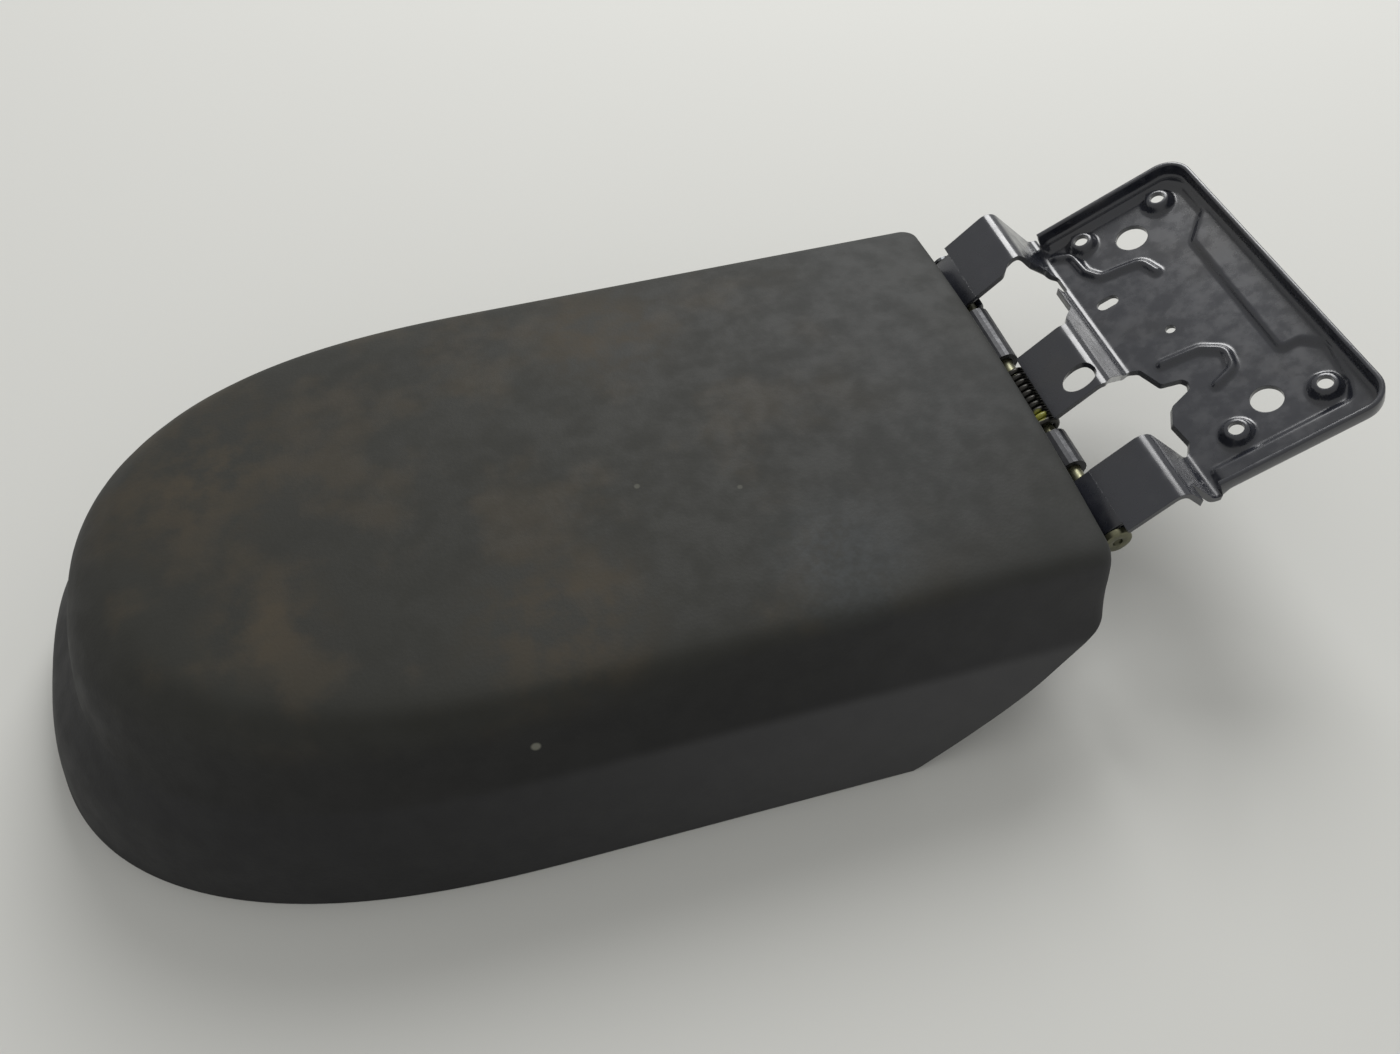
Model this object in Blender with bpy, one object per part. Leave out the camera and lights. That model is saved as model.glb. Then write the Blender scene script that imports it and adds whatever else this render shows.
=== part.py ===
"""Car armrest: a soft-skinned console lid on a stamped steel hinge bracket.

Frame: metres, +Z up. X runs from the rounded front of the lid (negative) to the
hinge bracket (positive), Y across it, and Z = 0 is the rim that the lid rests on.
The lengths below are in millimetres and are turned to metres when a mesh is made.
"""

import math

import bmesh
import bpy
import numpy as np

MM = 0.001

# Clearances
GAP = 0.5
RUNNING_GAP = 0.3

# Lid outside
LID_LENGTH = 314.8
RIM_HALF_WIDTH = 95.6
FLARE = 9.7
NOSE_FLARE = 21.6
CREASE_HEIGHT = 35.6
TOP_HEIGHT = 68.6
CROWN = 4.2
CHAMFER_RUN = 59.5
CHAMFER_BELOW_PIN = 12.6
REAR_CORNER_RADIUS = 5.0
NOSE_START = 154.5
RIM_NOSE_POWER = 2.57
TOP_NOSE_POWER = 2.35
NOSE_MIN_ASPECT = 0.9
NOSE_SKEW = 0.055

# Lid layers
SKIN_THICKNESS = 2.2
FOAM_THICKNESS = 8.0
CARRIER_WALL = 2.5
LINER_RECESS = 12.0
RAMP_RECESS = 4.0
LINER_THICKNESS = 2.5
RIB_THICKNESS = 2.0
RIB_DEPTH = 11.0
CROSS_RIBS = (110.0, 190.0)

# Hinge
PIN_REACH = 8.5
PIN_DROP = 16.0
PIN_RADIUS = 2.5
PIN_HEAD_RADIUS = 4.6
PIN_HEAD_THICKNESS = 2.0
PIN_TAIL = 2.4
CLIP_THICKNESS = 1.2
SHEET = 1.8
FRAME_LENGTH = 47.0
FRAME_CLEAR = 2.5
FRAME_HALF_WIDTH = 50.0
FRAME_FLANGE = 7.0
KNUCKLES = ((-37.0, -23.0), (12.0, 36.0))
SPRING_SPAN = (-19.5, 6.5)
SPRING_WIRE_RADIUS = 1.0
SPRING_TURNS = 10
SPRING_LEG = 17.0
FRAME_SCREW_INSET = 8.0
FRAME_SCREW_RADIUS = 2.0

# Hinge bracket, side view
ARM_ANGLE = math.radians(42.0)
ARM_LENGTH = 24.5
VALLEY_REACH = 34.8
VALLEY_RISE = 1.2
PLATE_ANGLE = math.radians(27.0)
PLATE_LENGTH = 56.0
BEND_RADIUS = 3.0
RIM_FLANGE = 6.5
PLATE_CORNER = 9.0

# Hinge bracket, across
ARM_SPAN = 67.0
PLATE_EDGES = (-60.0, 63.5)
PLATE_ROOT = 2.5
EYE_RECESS = 3.3
FALL_REACH = 8.0
LEFT_ARM_EDGE = 39.5
RIGHT_ARM_EDGE = -43.0
CENTRE_ARM = (-20.3, 7.3)
BOSS_PLACES = ((42.5, 52.8), (14.0, 53.0), (44.2, -43.4), (16.4, -43.4))
BOSS_RADIUS = 4.5
BOSS_HEIGHT = 3.2
SCREW_HOLE_RADIUS = 2.3
LEDGE_HEIGHT = 1.6
BEAD_RADIUS = 2.2
BEAD_HEIGHT = 1.6

# Round holes in the plate, as (along it, across it, radius)
LOCATING_HOLES = ((28.6, 45.2, 5.3), (29.4, -37.4, 4.8), (20.0, 2.9, 1.6))

# Slots as (along, across, length, radius), in the plate and from the centre arm's crest
PLATE_SLOT = (9.3, 25.2, 7.4, 2.2)
ARM_SLOT = (-6.5, -13.5, 8.8, 4.2)

# Inner edge of the plate's raised border, as (distance from its far edge, across)
LEDGE_LINE = ((8.0, 58.5), (4.6, 53.0), (4.6, 40.0), (13.5, 30.2), (14.9, -24.6),
              (8.6, -24.8), (3.6, -30.2), (6.3, -46.0), (8.6, -51.0))
LEDGE_SIDE = 5.0
LEDGE_START = 4.0

# Routes of the two pressed beads, as (along, across)
SNAKE_BEAD = ((4.0, 54.0), (8.8, 51.0), (9.4, 41.5), (12.5, 36.0), (19.0, 35.0),
              (26.0, 33.5), (28.0, 26.5))
HOOK_BEAD = ((11.0, -8.0), (23.0, -9.5), (29.0, -14.5), (27.5, -22.0), (20.6, -24.5))

# The cut-outs beside the centre arm, as (distance past the crest or the valley,
# distance outside the centre arm or inside the outer arm)
LEFT_WEB = ((2.5, 4.0), (-7.5, 16.0), (-5.0, 19.0))
LEFT_NOTCH = ((-5.0, 2.5), (0.8, 1.5), (0.8, -6.5), (-3.5, -8.5))
LEFT_CREST_NOTCH = ((5.0, -2.0), (0.5, -3.5), (-3.5, -2.8), (-5.5, 0.0))
RIGHT_NOTCH = ((0.0, 0.0), (2.0, 1.8), (3.4, 4.5), (2.6, 13.0), (5.3, 19.0))
RIGHT_WEB = ((11.9, 1.0), (12.8, -1.5), (11.9, -3.6), (6.6, -5.5), (4.1, -14.4),
             (1.6, -16.0), (-3.0, -13.5))

# Latch
LATCH_PIVOT_REACH = 36.0
LATCH_PIVOT_HEIGHT = 7.4
LATCH_PIN_RADIUS = 1.2
LATCH_HALF_WIDTH = 26.0
LATCH_LENGTH = 24.0
LATCH_THICKNESS = 2.5
LATCH_SPRING_RADIUS = 3.0
LATCH_SPRING_WIRE = 0.4
LATCH_SPRING_TURNS = 4
LATCH_HOOK_HALF_WIDTH = 9.0
LUG_THICKNESS = 3.0
LUG_REACH = 4.0

# Feet and fasteners: how far the front ones are behind the lid's front, the rear ones
# before the chamfer, and each inside the rim
FRONT_BUMPER = (58.0, 45.6)
REAR_BUMPER = (29.3, 50.6)
FRONT_LINER_SCREW = (84.0, 53.6)
REAR_LINER_SCREW = (15.0, 23.6)
BUMPER_RADIUS = 5.0
BUMPER_CLEAR = 2.0
SCREW_SHANK_RADIUS = 1.6
SCREW_HEAD_RADIUS = 3.8
SCREW_HEAD_HEIGHT = 2.2
SCREW_LENGTH = 12.0
BOSS_WALL = 2.4

# Facets
NOSE_STEPS = 13
SIDE_STEPS = 4
CORNER_STEPS = 3
REAR_STEPS = 4
ROUND_STEPS = 20

# The flare of the skirt, as shares of its width and height
FLARE_ROWS = ((0.0, 0.0), (0.16, 0.30), (0.44, 0.64), (0.82, 0.89), (1.0, 1.0))

# The wall and top above the crease: inset and share of the height at the side,
# the same at the nose, inset at the rear, and how far the row follows the crown
UPPER_ROWS = (
    (2.75, 0.140, 1.2, 0.140, 0.0, 0.0),
    (5.45, 0.390, 3.2, 0.380, 0.0, 0.0),
    (7.15, 0.646, 7.0, 0.620, 0.0, 0.5),
    (8.65, 0.779, 12.5, 0.765, 0.4, 1.0),
    (12.2, 0.868, 20.0, 0.860, 2.0, 1.0),
    (18.8, 0.907, 29.0, 0.905, 7.0, 1.0),
    (36.8, 0.952, 45.0, 0.952, 24.0, 1.0),
    (60.8, 0.986, 66.0, 0.986, 48.0, 1.0),
    (78.0, 0.999, 88.0, 0.999, 70.0, 1.0),
)
SHOULDER_ROW = len(FLARE_ROWS) + 2

# Places worked out from the sizes above
PIN_HEIGHT = TOP_HEIGHT - PIN_DROP
CHAMFER_RISE = PIN_HEIGHT - CHAMFER_BELOW_PIN
VALLEY = np.array([VALLEY_REACH, VALLEY_RISE])
PLATE_DIRECTION = np.array([math.cos(PLATE_ANGLE), math.sin(PLATE_ANGLE)])
PLATE_NORMAL = np.array([-math.sin(PLATE_ANGLE), math.cos(PLATE_ANGLE)])
PLATE_RUN = PLATE_LENGTH * PLATE_DIRECTION[0] - SHEET * PLATE_NORMAL[0]
OVERHANG = PIN_REACH + VALLEY_REACH + PLATE_RUN
LID_FRONT = -(LID_LENGTH + OVERHANG) / 2
LID_REAR = LID_FRONT + LID_LENGTH
PIN = np.array([LID_REAR + PIN_REACH, PIN_HEIGHT])
CURL_INNER = PIN_RADIUS + RUNNING_GAP
CURL_OUTER = CURL_INNER + SHEET
ARM_DIRECTION = np.array([math.cos(ARM_ANGLE), math.sin(ARM_ANGLE)])
ARM_NORMAL = np.array([-math.sin(ARM_ANGLE), math.cos(ARM_ANGLE)])
CREST = PIN + ARM_LENGTH * ARM_DIRECTION + CURL_OUTER * ARM_NORMAL
LEAF_BOTTOM = PIN_HEIGHT - CURL_OUTER
LEAF_TOP = LEAF_BOTTOM + SHEET
FRAME_END = LID_REAR - SKIN_THICKNESS - CARRIER_WALL - 2 * GAP - FRAME_CLEAR
FRAME_FRONT = FRAME_END - FRAME_LENGTH
BODY_RISE = TOP_HEIGHT - CREASE_HEIGHT
CARRIER_INSET = SKIN_THICKNESS + 2 * GAP
CARRIER_DROP = SKIN_THICKNESS + FOAM_THICKNESS + 2 * GAP
LINER_TOP = LINER_RECESS + LINER_THICKNESS
LATCH_PIVOT = np.array([LID_FRONT + LATCH_PIVOT_REACH, LATCH_PIVOT_HEIGHT])
CHAMFER_SLOPE = CHAMFER_RISE / CHAMFER_RUN
CHAMFER_START = LID_REAR - CHAMFER_RUN
EYE_SPAN = ARM_SPAN - EYE_RECESS
BEYOND = 40.0
SKY = PIN_HEIGHT + 60.0
THROUGH = (-6.0, 12.0)


def clear_scene():
    """Remove what the scene holds, so that the script can be run again."""
    for thing in list(bpy.data.objects):
        bpy.data.objects.remove(thing, do_unlink=True)


def linear(channel):
    """Turn one sRGB channel into linear light."""
    if channel <= 0.04045:
        return channel / 12.92
    return ((channel + 0.055) / 1.055) ** 2.4


def material(name, hex_colour, roughness, metallic=0.0):
    """Make a plain Principled material from an sRGB hex colour."""
    made = bpy.data.materials.new(name)
    made.use_nodes = True
    shader = made.node_tree.nodes["Principled BSDF"]
    channels = [int(hex_colour[i:i + 2], 16) / 255 for i in (0, 2, 4)]
    colour = [linear(c) for c in channels] + [1.0]
    shader.inputs["Base Color"].default_value = colour
    shader.inputs["Roughness"].default_value = roughness
    shader.inputs["Metallic"].default_value = metallic
    return made


def mesh_object(name, points, faces, finish=None):
    """Make an object from points in millimetres, with its faces turned outward."""
    body = bmesh.new()
    verts = [body.verts.new([float(c) * MM for c in p]) for p in points]
    for face in faces:
        body.faces.new([verts[i] for i in face])
    bmesh.ops.recalc_face_normals(body, faces=body.faces)
    mesh = bpy.data.meshes.new(name)
    body.to_mesh(mesh)
    body.free()
    thing = bpy.data.objects.new(name, mesh)
    bpy.context.scene.collection.objects.link(thing)
    if finish is not None:
        mesh.materials.append(finish)
    return thing


def combine(target, tool, operation):
    """Run an exact Boolean on the target, keep its result and remove the tool."""
    step = target.modifiers.new(operation.title(), "BOOLEAN")
    step.object = tool
    step.operation = operation
    step.solver = "EXACT"
    bpy.context.view_layer.update()
    graph = bpy.context.evaluated_depsgraph_get()
    result = bpy.data.meshes.new_from_object(target.evaluated_get(graph))
    target.modifiers.remove(step)
    old = target.data
    target.data = result
    result.name = target.name
    bpy.data.meshes.remove(old)
    bpy.data.objects.remove(tool, do_unlink=True)
    return target


def smooth(thing, angle=math.radians(35.0)):
    """Shade round stretches smooth and keep the real edges sharp."""
    thing.data.shade_smooth()
    thing.data.set_sharp_from_angle(angle=angle)
    return thing


def sweep(name, sections, finish=None, closed=False):
    """Join equal closed sections into one tube, capped unless it closes on itself."""
    count = len(sections[0])
    points = [p for section in sections for p in section]
    faces = []
    rings = len(sections)
    for j in range(rings if closed else rings - 1):
        k = (j + 1) % rings
        for i in range(count):
            n = (i + 1) % count
            faces.append((j * count + i, j * count + n, k * count + n, k * count + i))
    if not closed:
        faces.append(tuple(range(count)))
        faces.append(tuple((rings - 1) * count + i for i in range(count)))
    return mesh_object(name, points, faces, finish)


def side_prism(name, outline, low, high, finish=None):
    """Extrude an outline in X and Z from one Y to another."""
    near = [(x, low, z) for x, z in outline]
    far = [(x, high, z) for x, z in outline]
    return sweep(name, [near, far], finish)


def plan_prism(name, outline, low, high, finish=None):
    """Extrude an outline in X and Y from one height to another."""
    bottom = [(x, y, low) for x, y in outline]
    top = [(x, y, high) for x, y in outline]
    return sweep(name, [bottom, top], finish)


def box(name, x_span, y_span, z_span, finish=None):
    """Make a box from its three spans."""
    (x0, x1), (y0, y1), (z0, z1) = x_span, y_span, z_span
    return side_prism(name, [(x0, z0), (x1, z0), (x1, z1), (x0, z1)], y0, y1, finish)


def turned(name, profile, place, finish=None, upright=True, steps=ROUND_STEPS):
    """Turn (radius, station) points about a vertical axis, or about one along Y.

    The profile's first and last points lie on the axis.
    """
    cx, cy, cz = place
    points = []
    rims = profile[1:-1]
    for k in range(steps):
        angle = math.tau * k / steps
        for radius, station in rims:
            a, b = radius * math.cos(angle), radius * math.sin(angle)
            if upright:
                points.append((cx + a, cy + b, cz + station))
            else:
                points.append((cx + a, cy + station, cz + b))
    for _, station in (profile[0], profile[-1]):
        points.append((cx, cy, cz + station) if upright else (cx, cy + station, cz))
    count = len(rims)
    first, last = steps * count, steps * count + 1
    faces = []
    for k in range(steps):
        n = (k + 1) % steps
        for i in range(count - 1):
            faces.append((k * count + i, n * count + i, n * count + i + 1, k * count + i + 1))
        faces.append((first, n * count, k * count))
        faces.append((last, k * count + count - 1, n * count + count - 1))
    return smooth(mesh_object(name, points, faces, finish))


def ring(name, inner, outer, low, high, place, finish=None, upright=True):
    """Make a plain ring by turning a rectangle that stays off the axis."""
    sections = []
    cx, cy, cz = place
    for k in range(ROUND_STEPS):
        angle = math.tau * k / ROUND_STEPS
        c, s = math.cos(angle), math.sin(angle)
        corners = ((inner, low), (outer, low), (outer, high), (inner, high))
        if upright:
            sections.append([(cx + r * c, cy + r * s, cz + h) for r, h in corners])
        else:
            sections.append([(cx + r * c, cy + h, cz + r * s) for r, h in corners])
    return smooth(sweep(name, sections, finish, closed=True))


def circle(x, y, radius, steps=ROUND_STEPS):
    """Give the corners of a regular polygon in plan."""
    angles = [math.tau * k / steps for k in range(steps)]
    return [(x + radius * math.cos(a), y + radius * math.sin(a)) for a in angles]


def plan_ring(half_width, front, rear, corner, power=RIM_NOSE_POWER):
    """Give the lid's plan outline, from the middle of its rear round to the same.

    The rear is straight with round corners and the nose is a superellipse. The
    second half mirrors the first, so point i faces point -i across the middle, and
    the nose then leans forward a little on its left side.
    """
    corner = min(corner, 0.8 * half_width)
    length = max(LID_FRONT + NOSE_START - front, NOSE_MIN_ASPECT * half_width)
    start = front + length
    half = []
    for k in range(REAR_STEPS):
        half.append((rear, (half_width - corner) * k / REAR_STEPS))
    for k in range(CORNER_STEPS):
        angle = math.pi / 2 * k / CORNER_STEPS
        half.append((rear - corner + corner * math.cos(angle),
                     half_width - corner + corner * math.sin(angle)))
    for k in range(SIDE_STEPS):
        half.append((rear - corner + (start - rear + corner) * k / SIDE_STEPS, half_width))
    for k in range(NOSE_STEPS):
        angle = math.pi / 2 * k / NOSE_STEPS
        half.append((start - length * math.sin(angle) ** (2 / power),
                     half_width * math.cos(angle) ** (2 / power)))
    middle = (start - length, 0.0)
    outline = half + [middle] + [(x, -y) for x, y in half[:0:-1]]
    return [(x - NOSE_SKEW * y * max(start - x, 0.0) / length, y) for x, y in outline]


def crown_at(y):
    """Give how far the crowned top has fallen at a distance from the middle."""
    top_edge = RIM_HALF_WIDTH - FLARE - UPPER_ROWS[3][0]
    return CROWN * (y / top_edge) ** 2


def body_row(index, inset=0.0, drop=0.0):
    """Give one level of the lid's outside, or of a layer inset and dropped from it."""
    if index < len(FLARE_ROWS):
        across, up = FLARE_ROWS[index]
        half_width = RIM_HALF_WIDTH - FLARE * across - inset
        front = LID_FRONT + NOSE_FLARE * across + inset
        outline = plan_ring(half_width, front, LID_REAR - inset, REAR_CORNER_RADIUS - inset)
        return [(x, y, CREASE_HEIGHT * up) for x, y in outline]
    side, side_up, nose, nose_up, rear, follow = UPPER_ROWS[index - len(FLARE_ROWS)]
    half_width = RIM_HALF_WIDTH - FLARE - side - inset
    front = LID_FRONT + NOSE_FLARE + nose + inset
    corner = max(REAR_CORNER_RADIUS - inset, 2.0)
    power = RIM_NOSE_POWER + (TOP_NOSE_POWER - RIM_NOSE_POWER) * side_up
    outline = plan_ring(half_width, front, LID_REAR - rear - inset, corner, power)
    nose_start = max(LID_FRONT + NOSE_START, front + NOSE_MIN_ASPECT * half_width)
    points = []
    for x, y in outline:
        nearness = min(max((nose_start - x) / (nose_start - front), 0.0), 1.0) ** 2
        share = side_up + (nose_up - side_up) * nearness
        rise = follow * (1 - nearness) * (crown_at(half_width) - crown_at(y))
        points.append((x, y, CREASE_HEIGHT + share * (BODY_RISE - drop) + rise))
    return points


def across_faces(start, count):
    """Close a ring that is mirrored about the middle with a strip of faces."""
    faces = []
    for i in range(count // 2):
        near = (i, i + 1, count - i - 1, (count - i) % count)
        faces.append(tuple(start + k for k in dict.fromkeys(near)))
    return faces


def lofted(name, rows, finish=None):
    """Join mirrored rings into one closed body, with both end rings filled."""
    count = len(rows[0])
    points = [p for row in rows for p in row]
    faces = []
    for j in range(len(rows) - 1):
        for i in range(count):
            n = (i + 1) % count
            faces.append((j * count + i, j * count + n,
                          (j + 1) * count + n, (j + 1) * count + i))
    faces += across_faces(0, count)
    faces += across_faces((len(rows) - 1) * count, count)
    return mesh_object(name, points, faces, finish)


ALL_ROWS = range(len(FLARE_ROWS) + len(UPPER_ROWS))


def core(name, inset, drop):
    """Make the solid that fills the lid inside a given inset and drop."""
    return lofted(name, [body_row(i, inset, drop) for i in ALL_ROWS])


def shell(name, inset, drop, wall, finish):
    """Make an open-bottomed shell between two sizes of the lid's form."""
    outer = [body_row(i, inset, drop) for i in ALL_ROWS]
    inner = [body_row(i, inset + wall, drop + wall) for i in ALL_ROWS]
    rows = outer[::-1] + inner
    return lofted(name, rows, finish)


def floor_line(lift):
    """Give the liner's lower face in X and Z, raised by lift, from front to rear."""
    front, end = LID_FRONT - BEYOND, LID_REAR + BEYOND
    knee = CHAMFER_START + (LINER_RECESS - RAMP_RECESS) / CHAMFER_SLOPE
    top = RAMP_RECESS + CHAMFER_SLOPE * (end - CHAMFER_START)
    lean = math.hypot(1.0, CHAMFER_SLOPE)
    return [(front, LINER_RECESS + lift), (knee, LINER_RECESS + lift), (end, top + lift * lean)]


def leaf_slots(clearance):
    """List the Y and Z spans that the hinge leaves and the spring leg pass through."""
    slots = []
    for low, high in KNUCKLES:
        slots.append(((low - clearance, high + clearance),
                      (LEAF_BOTTOM - clearance, LEAF_TOP + clearance)))
    leg_y = SPRING_SPAN[0] + SPRING_WIRE_RADIUS
    reach = SPRING_WIRE_RADIUS + clearance
    slots.append(((leg_y - reach, leg_y + reach),
                  (LEAF_TOP + clearance, PIN_HEIGHT + CURL_OUTER)))
    return slots


def cut_rear_wall(thing, inset):
    """Open the rear wall of a shell for the hinge leaves and the spring leg."""
    for y_span, z_span in leaf_slots(GAP):
        reach = (LID_REAR - inset - 4.0, LID_REAR + 2.0)
        combine(thing, box("slot_cutter", reach, y_span, z_span), "DIFFERENCE")


def make_cover_skin():
    """Make the moulded outer skin, open below and chamfered at its lower rear."""
    finish = material("soft_touch_skin", "3b3b37", 0.62)
    skin = shell("cover_skin", 0.0, 0.0, SKIN_THICKNESS, finish)
    low = -CHAMFER_SLOPE * BEYOND
    wedge = [(CHAMFER_START - BEYOND, low), (LID_REAR + BEYOND, low),
             (LID_REAR + BEYOND, CHAMFER_SLOPE * (CHAMFER_RUN + BEYOND))]
    wide = RIM_HALF_WIDTH + BEYOND
    combine(skin, side_prism("chamfer_cutter", wedge, -wide, wide), "DIFFERENCE")
    cut_rear_wall(skin, SKIN_THICKNESS)
    return smooth(skin, math.radians(28.0))


def make_foam_pad():
    """Make the foam that lies between the skin and the carrier's top."""
    finish = material("cushion_foam", "6e6a5e", 0.95)
    inset = SKIN_THICKNESS + GAP
    rows = range(SHOULDER_ROW, len(ALL_ROWS))
    top = [body_row(i, inset, inset) for i in rows]
    bottom = [body_row(i, inset, inset + FOAM_THICKNESS - GAP) for i in rows]
    pad = lofted("foam_pad", top[::-1] + bottom, finish)
    cut_rear_wall(pad, inset)
    return smooth(pad)


def make_carrier_web():
    """Make the ribs and screw bosses under the carrier, trimmed to its form."""
    middle = CARRIER_WALL / 2
    web = core("carrier_web", CARRIER_INSET + middle, CARRIER_DROP + middle)
    reach = RIM_HALF_WIDTH
    height = (TOP_HEIGHT - CARRIER_DROP - CARRIER_WALL - RIB_DEPTH, TOP_HEIGHT)
    span = (LID_FRONT, FRAME_FRONT - GAP)
    keep = box("rib", span, (-RIB_THICKNESS / 2, RIB_THICKNESS / 2), height)
    for distance in CROSS_RIBS:
        x = LID_FRONT + distance
        rib = box("rib", (x, x + RIB_THICKNESS), (-reach, reach), height)
        combine(keep, rib, "UNION")
    for x, y in liner_screw_places():
        hole = SCREW_SHANK_RADIUS + RUNNING_GAP
        post = plan_prism("boss", circle(x, y, hole + BOSS_WALL, 12), 1.0, TOP_HEIGHT)
        depth = LINER_RECESS + SCREW_LENGTH + GAP
        pilot = plan_prism("pilot", circle(x, y, hole, 12), -1.0, depth)
        combine(keep, combine(post, pilot, "DIFFERENCE"), "UNION")
    for x, y in frame_screw_places():
        low = LEAF_TOP + RUNNING_GAP
        hole = FRAME_SCREW_RADIUS + RUNNING_GAP
        post = plan_prism("boss", circle(x, y, hole + BOSS_WALL, 12), low, TOP_HEIGHT)
        depth = frame_screw_top() + GAP
        pilot = plan_prism("pilot", circle(x, y, hole, 12), -1.0, depth)
        combine(keep, combine(post, pilot, "DIFFERENCE"), "UNION")
    return combine(web, keep, "INTERSECT")


def make_lid_carrier():
    """Make the rigid inner shell that the skin is wrapped over."""
    finish = material("carrier_plastic", "26262a", 0.5)
    carrier = shell("lid_carrier", CARRIER_INSET, CARRIER_DROP, CARRIER_WALL, finish)
    cut_rear_wall(carrier, CARRIER_INSET + CARRIER_WALL)
    combine(carrier, make_carrier_web(), "UNION")
    below = [(LID_FRONT - BEYOND, -BEYOND), (LID_REAR + BEYOND, -BEYOND)]
    below += floor_line(LINER_THICKNESS + GAP)[::-1]
    wide = RIM_HALF_WIDTH + BEYOND
    combine(carrier, side_prism("floor_cutter", below, -wide, wide), "DIFFERENCE")
    carrier.data.materials.clear()
    carrier.data.materials.append(finish)
    return smooth(carrier)


def liner_screw_places():
    """List where the liner is screwed to the carrier."""
    front, rear = LID_FRONT + FRONT_LINER_SCREW[0], CHAMFER_START - REAR_LINER_SCREW[0]
    narrow = RIM_HALF_WIDTH - FRONT_LINER_SCREW[1]
    wide = RIM_HALF_WIDTH - REAR_LINER_SCREW[1]
    places = ((front, narrow), ((front + rear) / 2, wide), (rear, wide))
    return [(x, side * y) for x, y in places for side in (1, -1)]


def frame_screw_places():
    """List where the hinge frame is screwed to the carrier."""
    rows = (FRAME_FRONT + FRAME_SCREW_INSET, FRAME_END - FRAME_SCREW_INSET)
    across = FRAME_HALF_WIDTH - FRAME_SCREW_INSET
    return [(x, side * across) for x in rows for side in (1, -1)]


def frame_screw_top():
    """Give the height that the frame screws reach inside their bosses."""
    return TOP_HEIGHT - CARRIER_DROP - CARRIER_WALL - CROWN / 2


def make_underside_liner():
    """Make the tray that closes the lid from below, with its lugs and holes."""
    finish = material("liner_plastic", "2b2b2e", 0.55)
    inset = SKIN_THICKNESS + GAP
    outline = floor_line(0.0) + floor_line(LINER_THICKNESS)[::-1]
    wide = RIM_HALF_WIDTH + BEYOND
    liner = core("underside_liner", inset, inset)
    combine(liner, side_prism("tray", outline, -wide, wide), "INTERSECT")
    x, z = LATCH_PIVOT
    for side in (1, -1):
        inner = LATCH_HALF_WIDTH + RUNNING_GAP
        span = sorted((side * inner, side * (inner + LUG_THICKNESS)))
        lug = box("lug", (x - LUG_REACH, x + LUG_REACH), span,
                  (z - LUG_REACH, LINER_RECESS + LINER_THICKNESS / 2))
        combine(liner, lug, "UNION")
    hole = [(x + p, z + q) for p, q in circle(0, 0, LATCH_PIN_RADIUS + RUNNING_GAP, 12)]
    combine(liner, side_prism("pin_hole", hole, -wide / 2, wide / 2), "DIFFERENCE")
    for x, y in liner_screw_places():
        radius = SCREW_SHANK_RADIUS + RUNNING_GAP
        hole = plan_prism("screw_hole", circle(x, y, radius), 0.0, LINER_TOP + 1.0)
        combine(liner, hole, "DIFFERENCE")
    liner.data.materials.clear()
    liner.data.materials.append(finish)
    return liner


def screw(name, x, y, under_head, length, radius, finish):
    """Make an upright pan-head screw that is driven from below."""
    head = SCREW_HEAD_RADIUS
    low = under_head - SCREW_HEAD_HEIGHT
    profile = [(0.0, low + 0.9), (1.3, low + 0.9), (1.6, low), (head - 0.9, low),
               (head, low + 0.8), (head, under_head), (radius, under_head),
               (radius, under_head + length - 1.0), (radius - 0.7, under_head + length),
               (0.0, under_head + length)]
    return turned(name, profile, (x, y, 0.0), finish, steps=10)


def make_screws():
    """Make the screws of the liner and of the hinge frame."""
    steel = material("screw_steel", "8d8f92", 0.35, 1.0)
    for index, (x, y) in enumerate(liner_screw_places(), 1):
        under = LINER_RECESS - RUNNING_GAP
        screw(f"liner_screw_{index}", x, y, under, SCREW_LENGTH,
              SCREW_SHANK_RADIUS, steel)
    for index, (x, y) in enumerate(frame_screw_places(), 1):
        under = LEAF_BOTTOM - RUNNING_GAP
        screw(f"frame_screw_{index}", x, y, under, frame_screw_top() - under,
              FRAME_SCREW_RADIUS, steel)


def make_bumpers():
    """Make the rubber stops under the liner."""
    rubber = material("bumper_rubber", "18181a", 0.8)
    rows = ((LID_FRONT + FRONT_BUMPER[0], RIM_HALF_WIDTH - FRONT_BUMPER[1]),
            (CHAMFER_START - REAR_BUMPER[0], RIM_HALF_WIDTH - REAR_BUMPER[1]))
    places = [(x, side * y) for x, y in rows for side in (1, -1)]
    for index, (x, y) in enumerate(places, 1):
        top = LINER_RECESS - RUNNING_GAP
        r = BUMPER_RADIUS
        profile = [(0.0, BUMPER_CLEAR), (r - 1.5, BUMPER_CLEAR), (r - 0.4, BUMPER_CLEAR + 0.6),
                   (r, BUMPER_CLEAR + 1.8), (r, top), (0.0, top)]
        turned(f"rubber_bumper_{index}", profile, (x, y, 0.0), rubber, steps=16)


def arc(centre, radius, first, last, steps):
    """Give points on an arc in X and Z, with angles in degrees."""
    angles = np.radians(np.linspace(first, last, steps + 1))
    return [(centre[0] + radius * math.cos(a), centre[1] + radius * math.sin(a))
            for a in angles]


def frame_profile():
    """Give the side outline of the hinge frame's flat leaf and rolled knuckle."""
    outer = arc(PIN, CURL_OUTER, -90.0, 150.0, 14)
    inner = arc(PIN, CURL_INNER, 150.0, -90.0, 14)
    return [(FRAME_FRONT, LEAF_BOTTOM)] + outer + inner + [(FRAME_FRONT, LEAF_TOP)]


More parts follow.
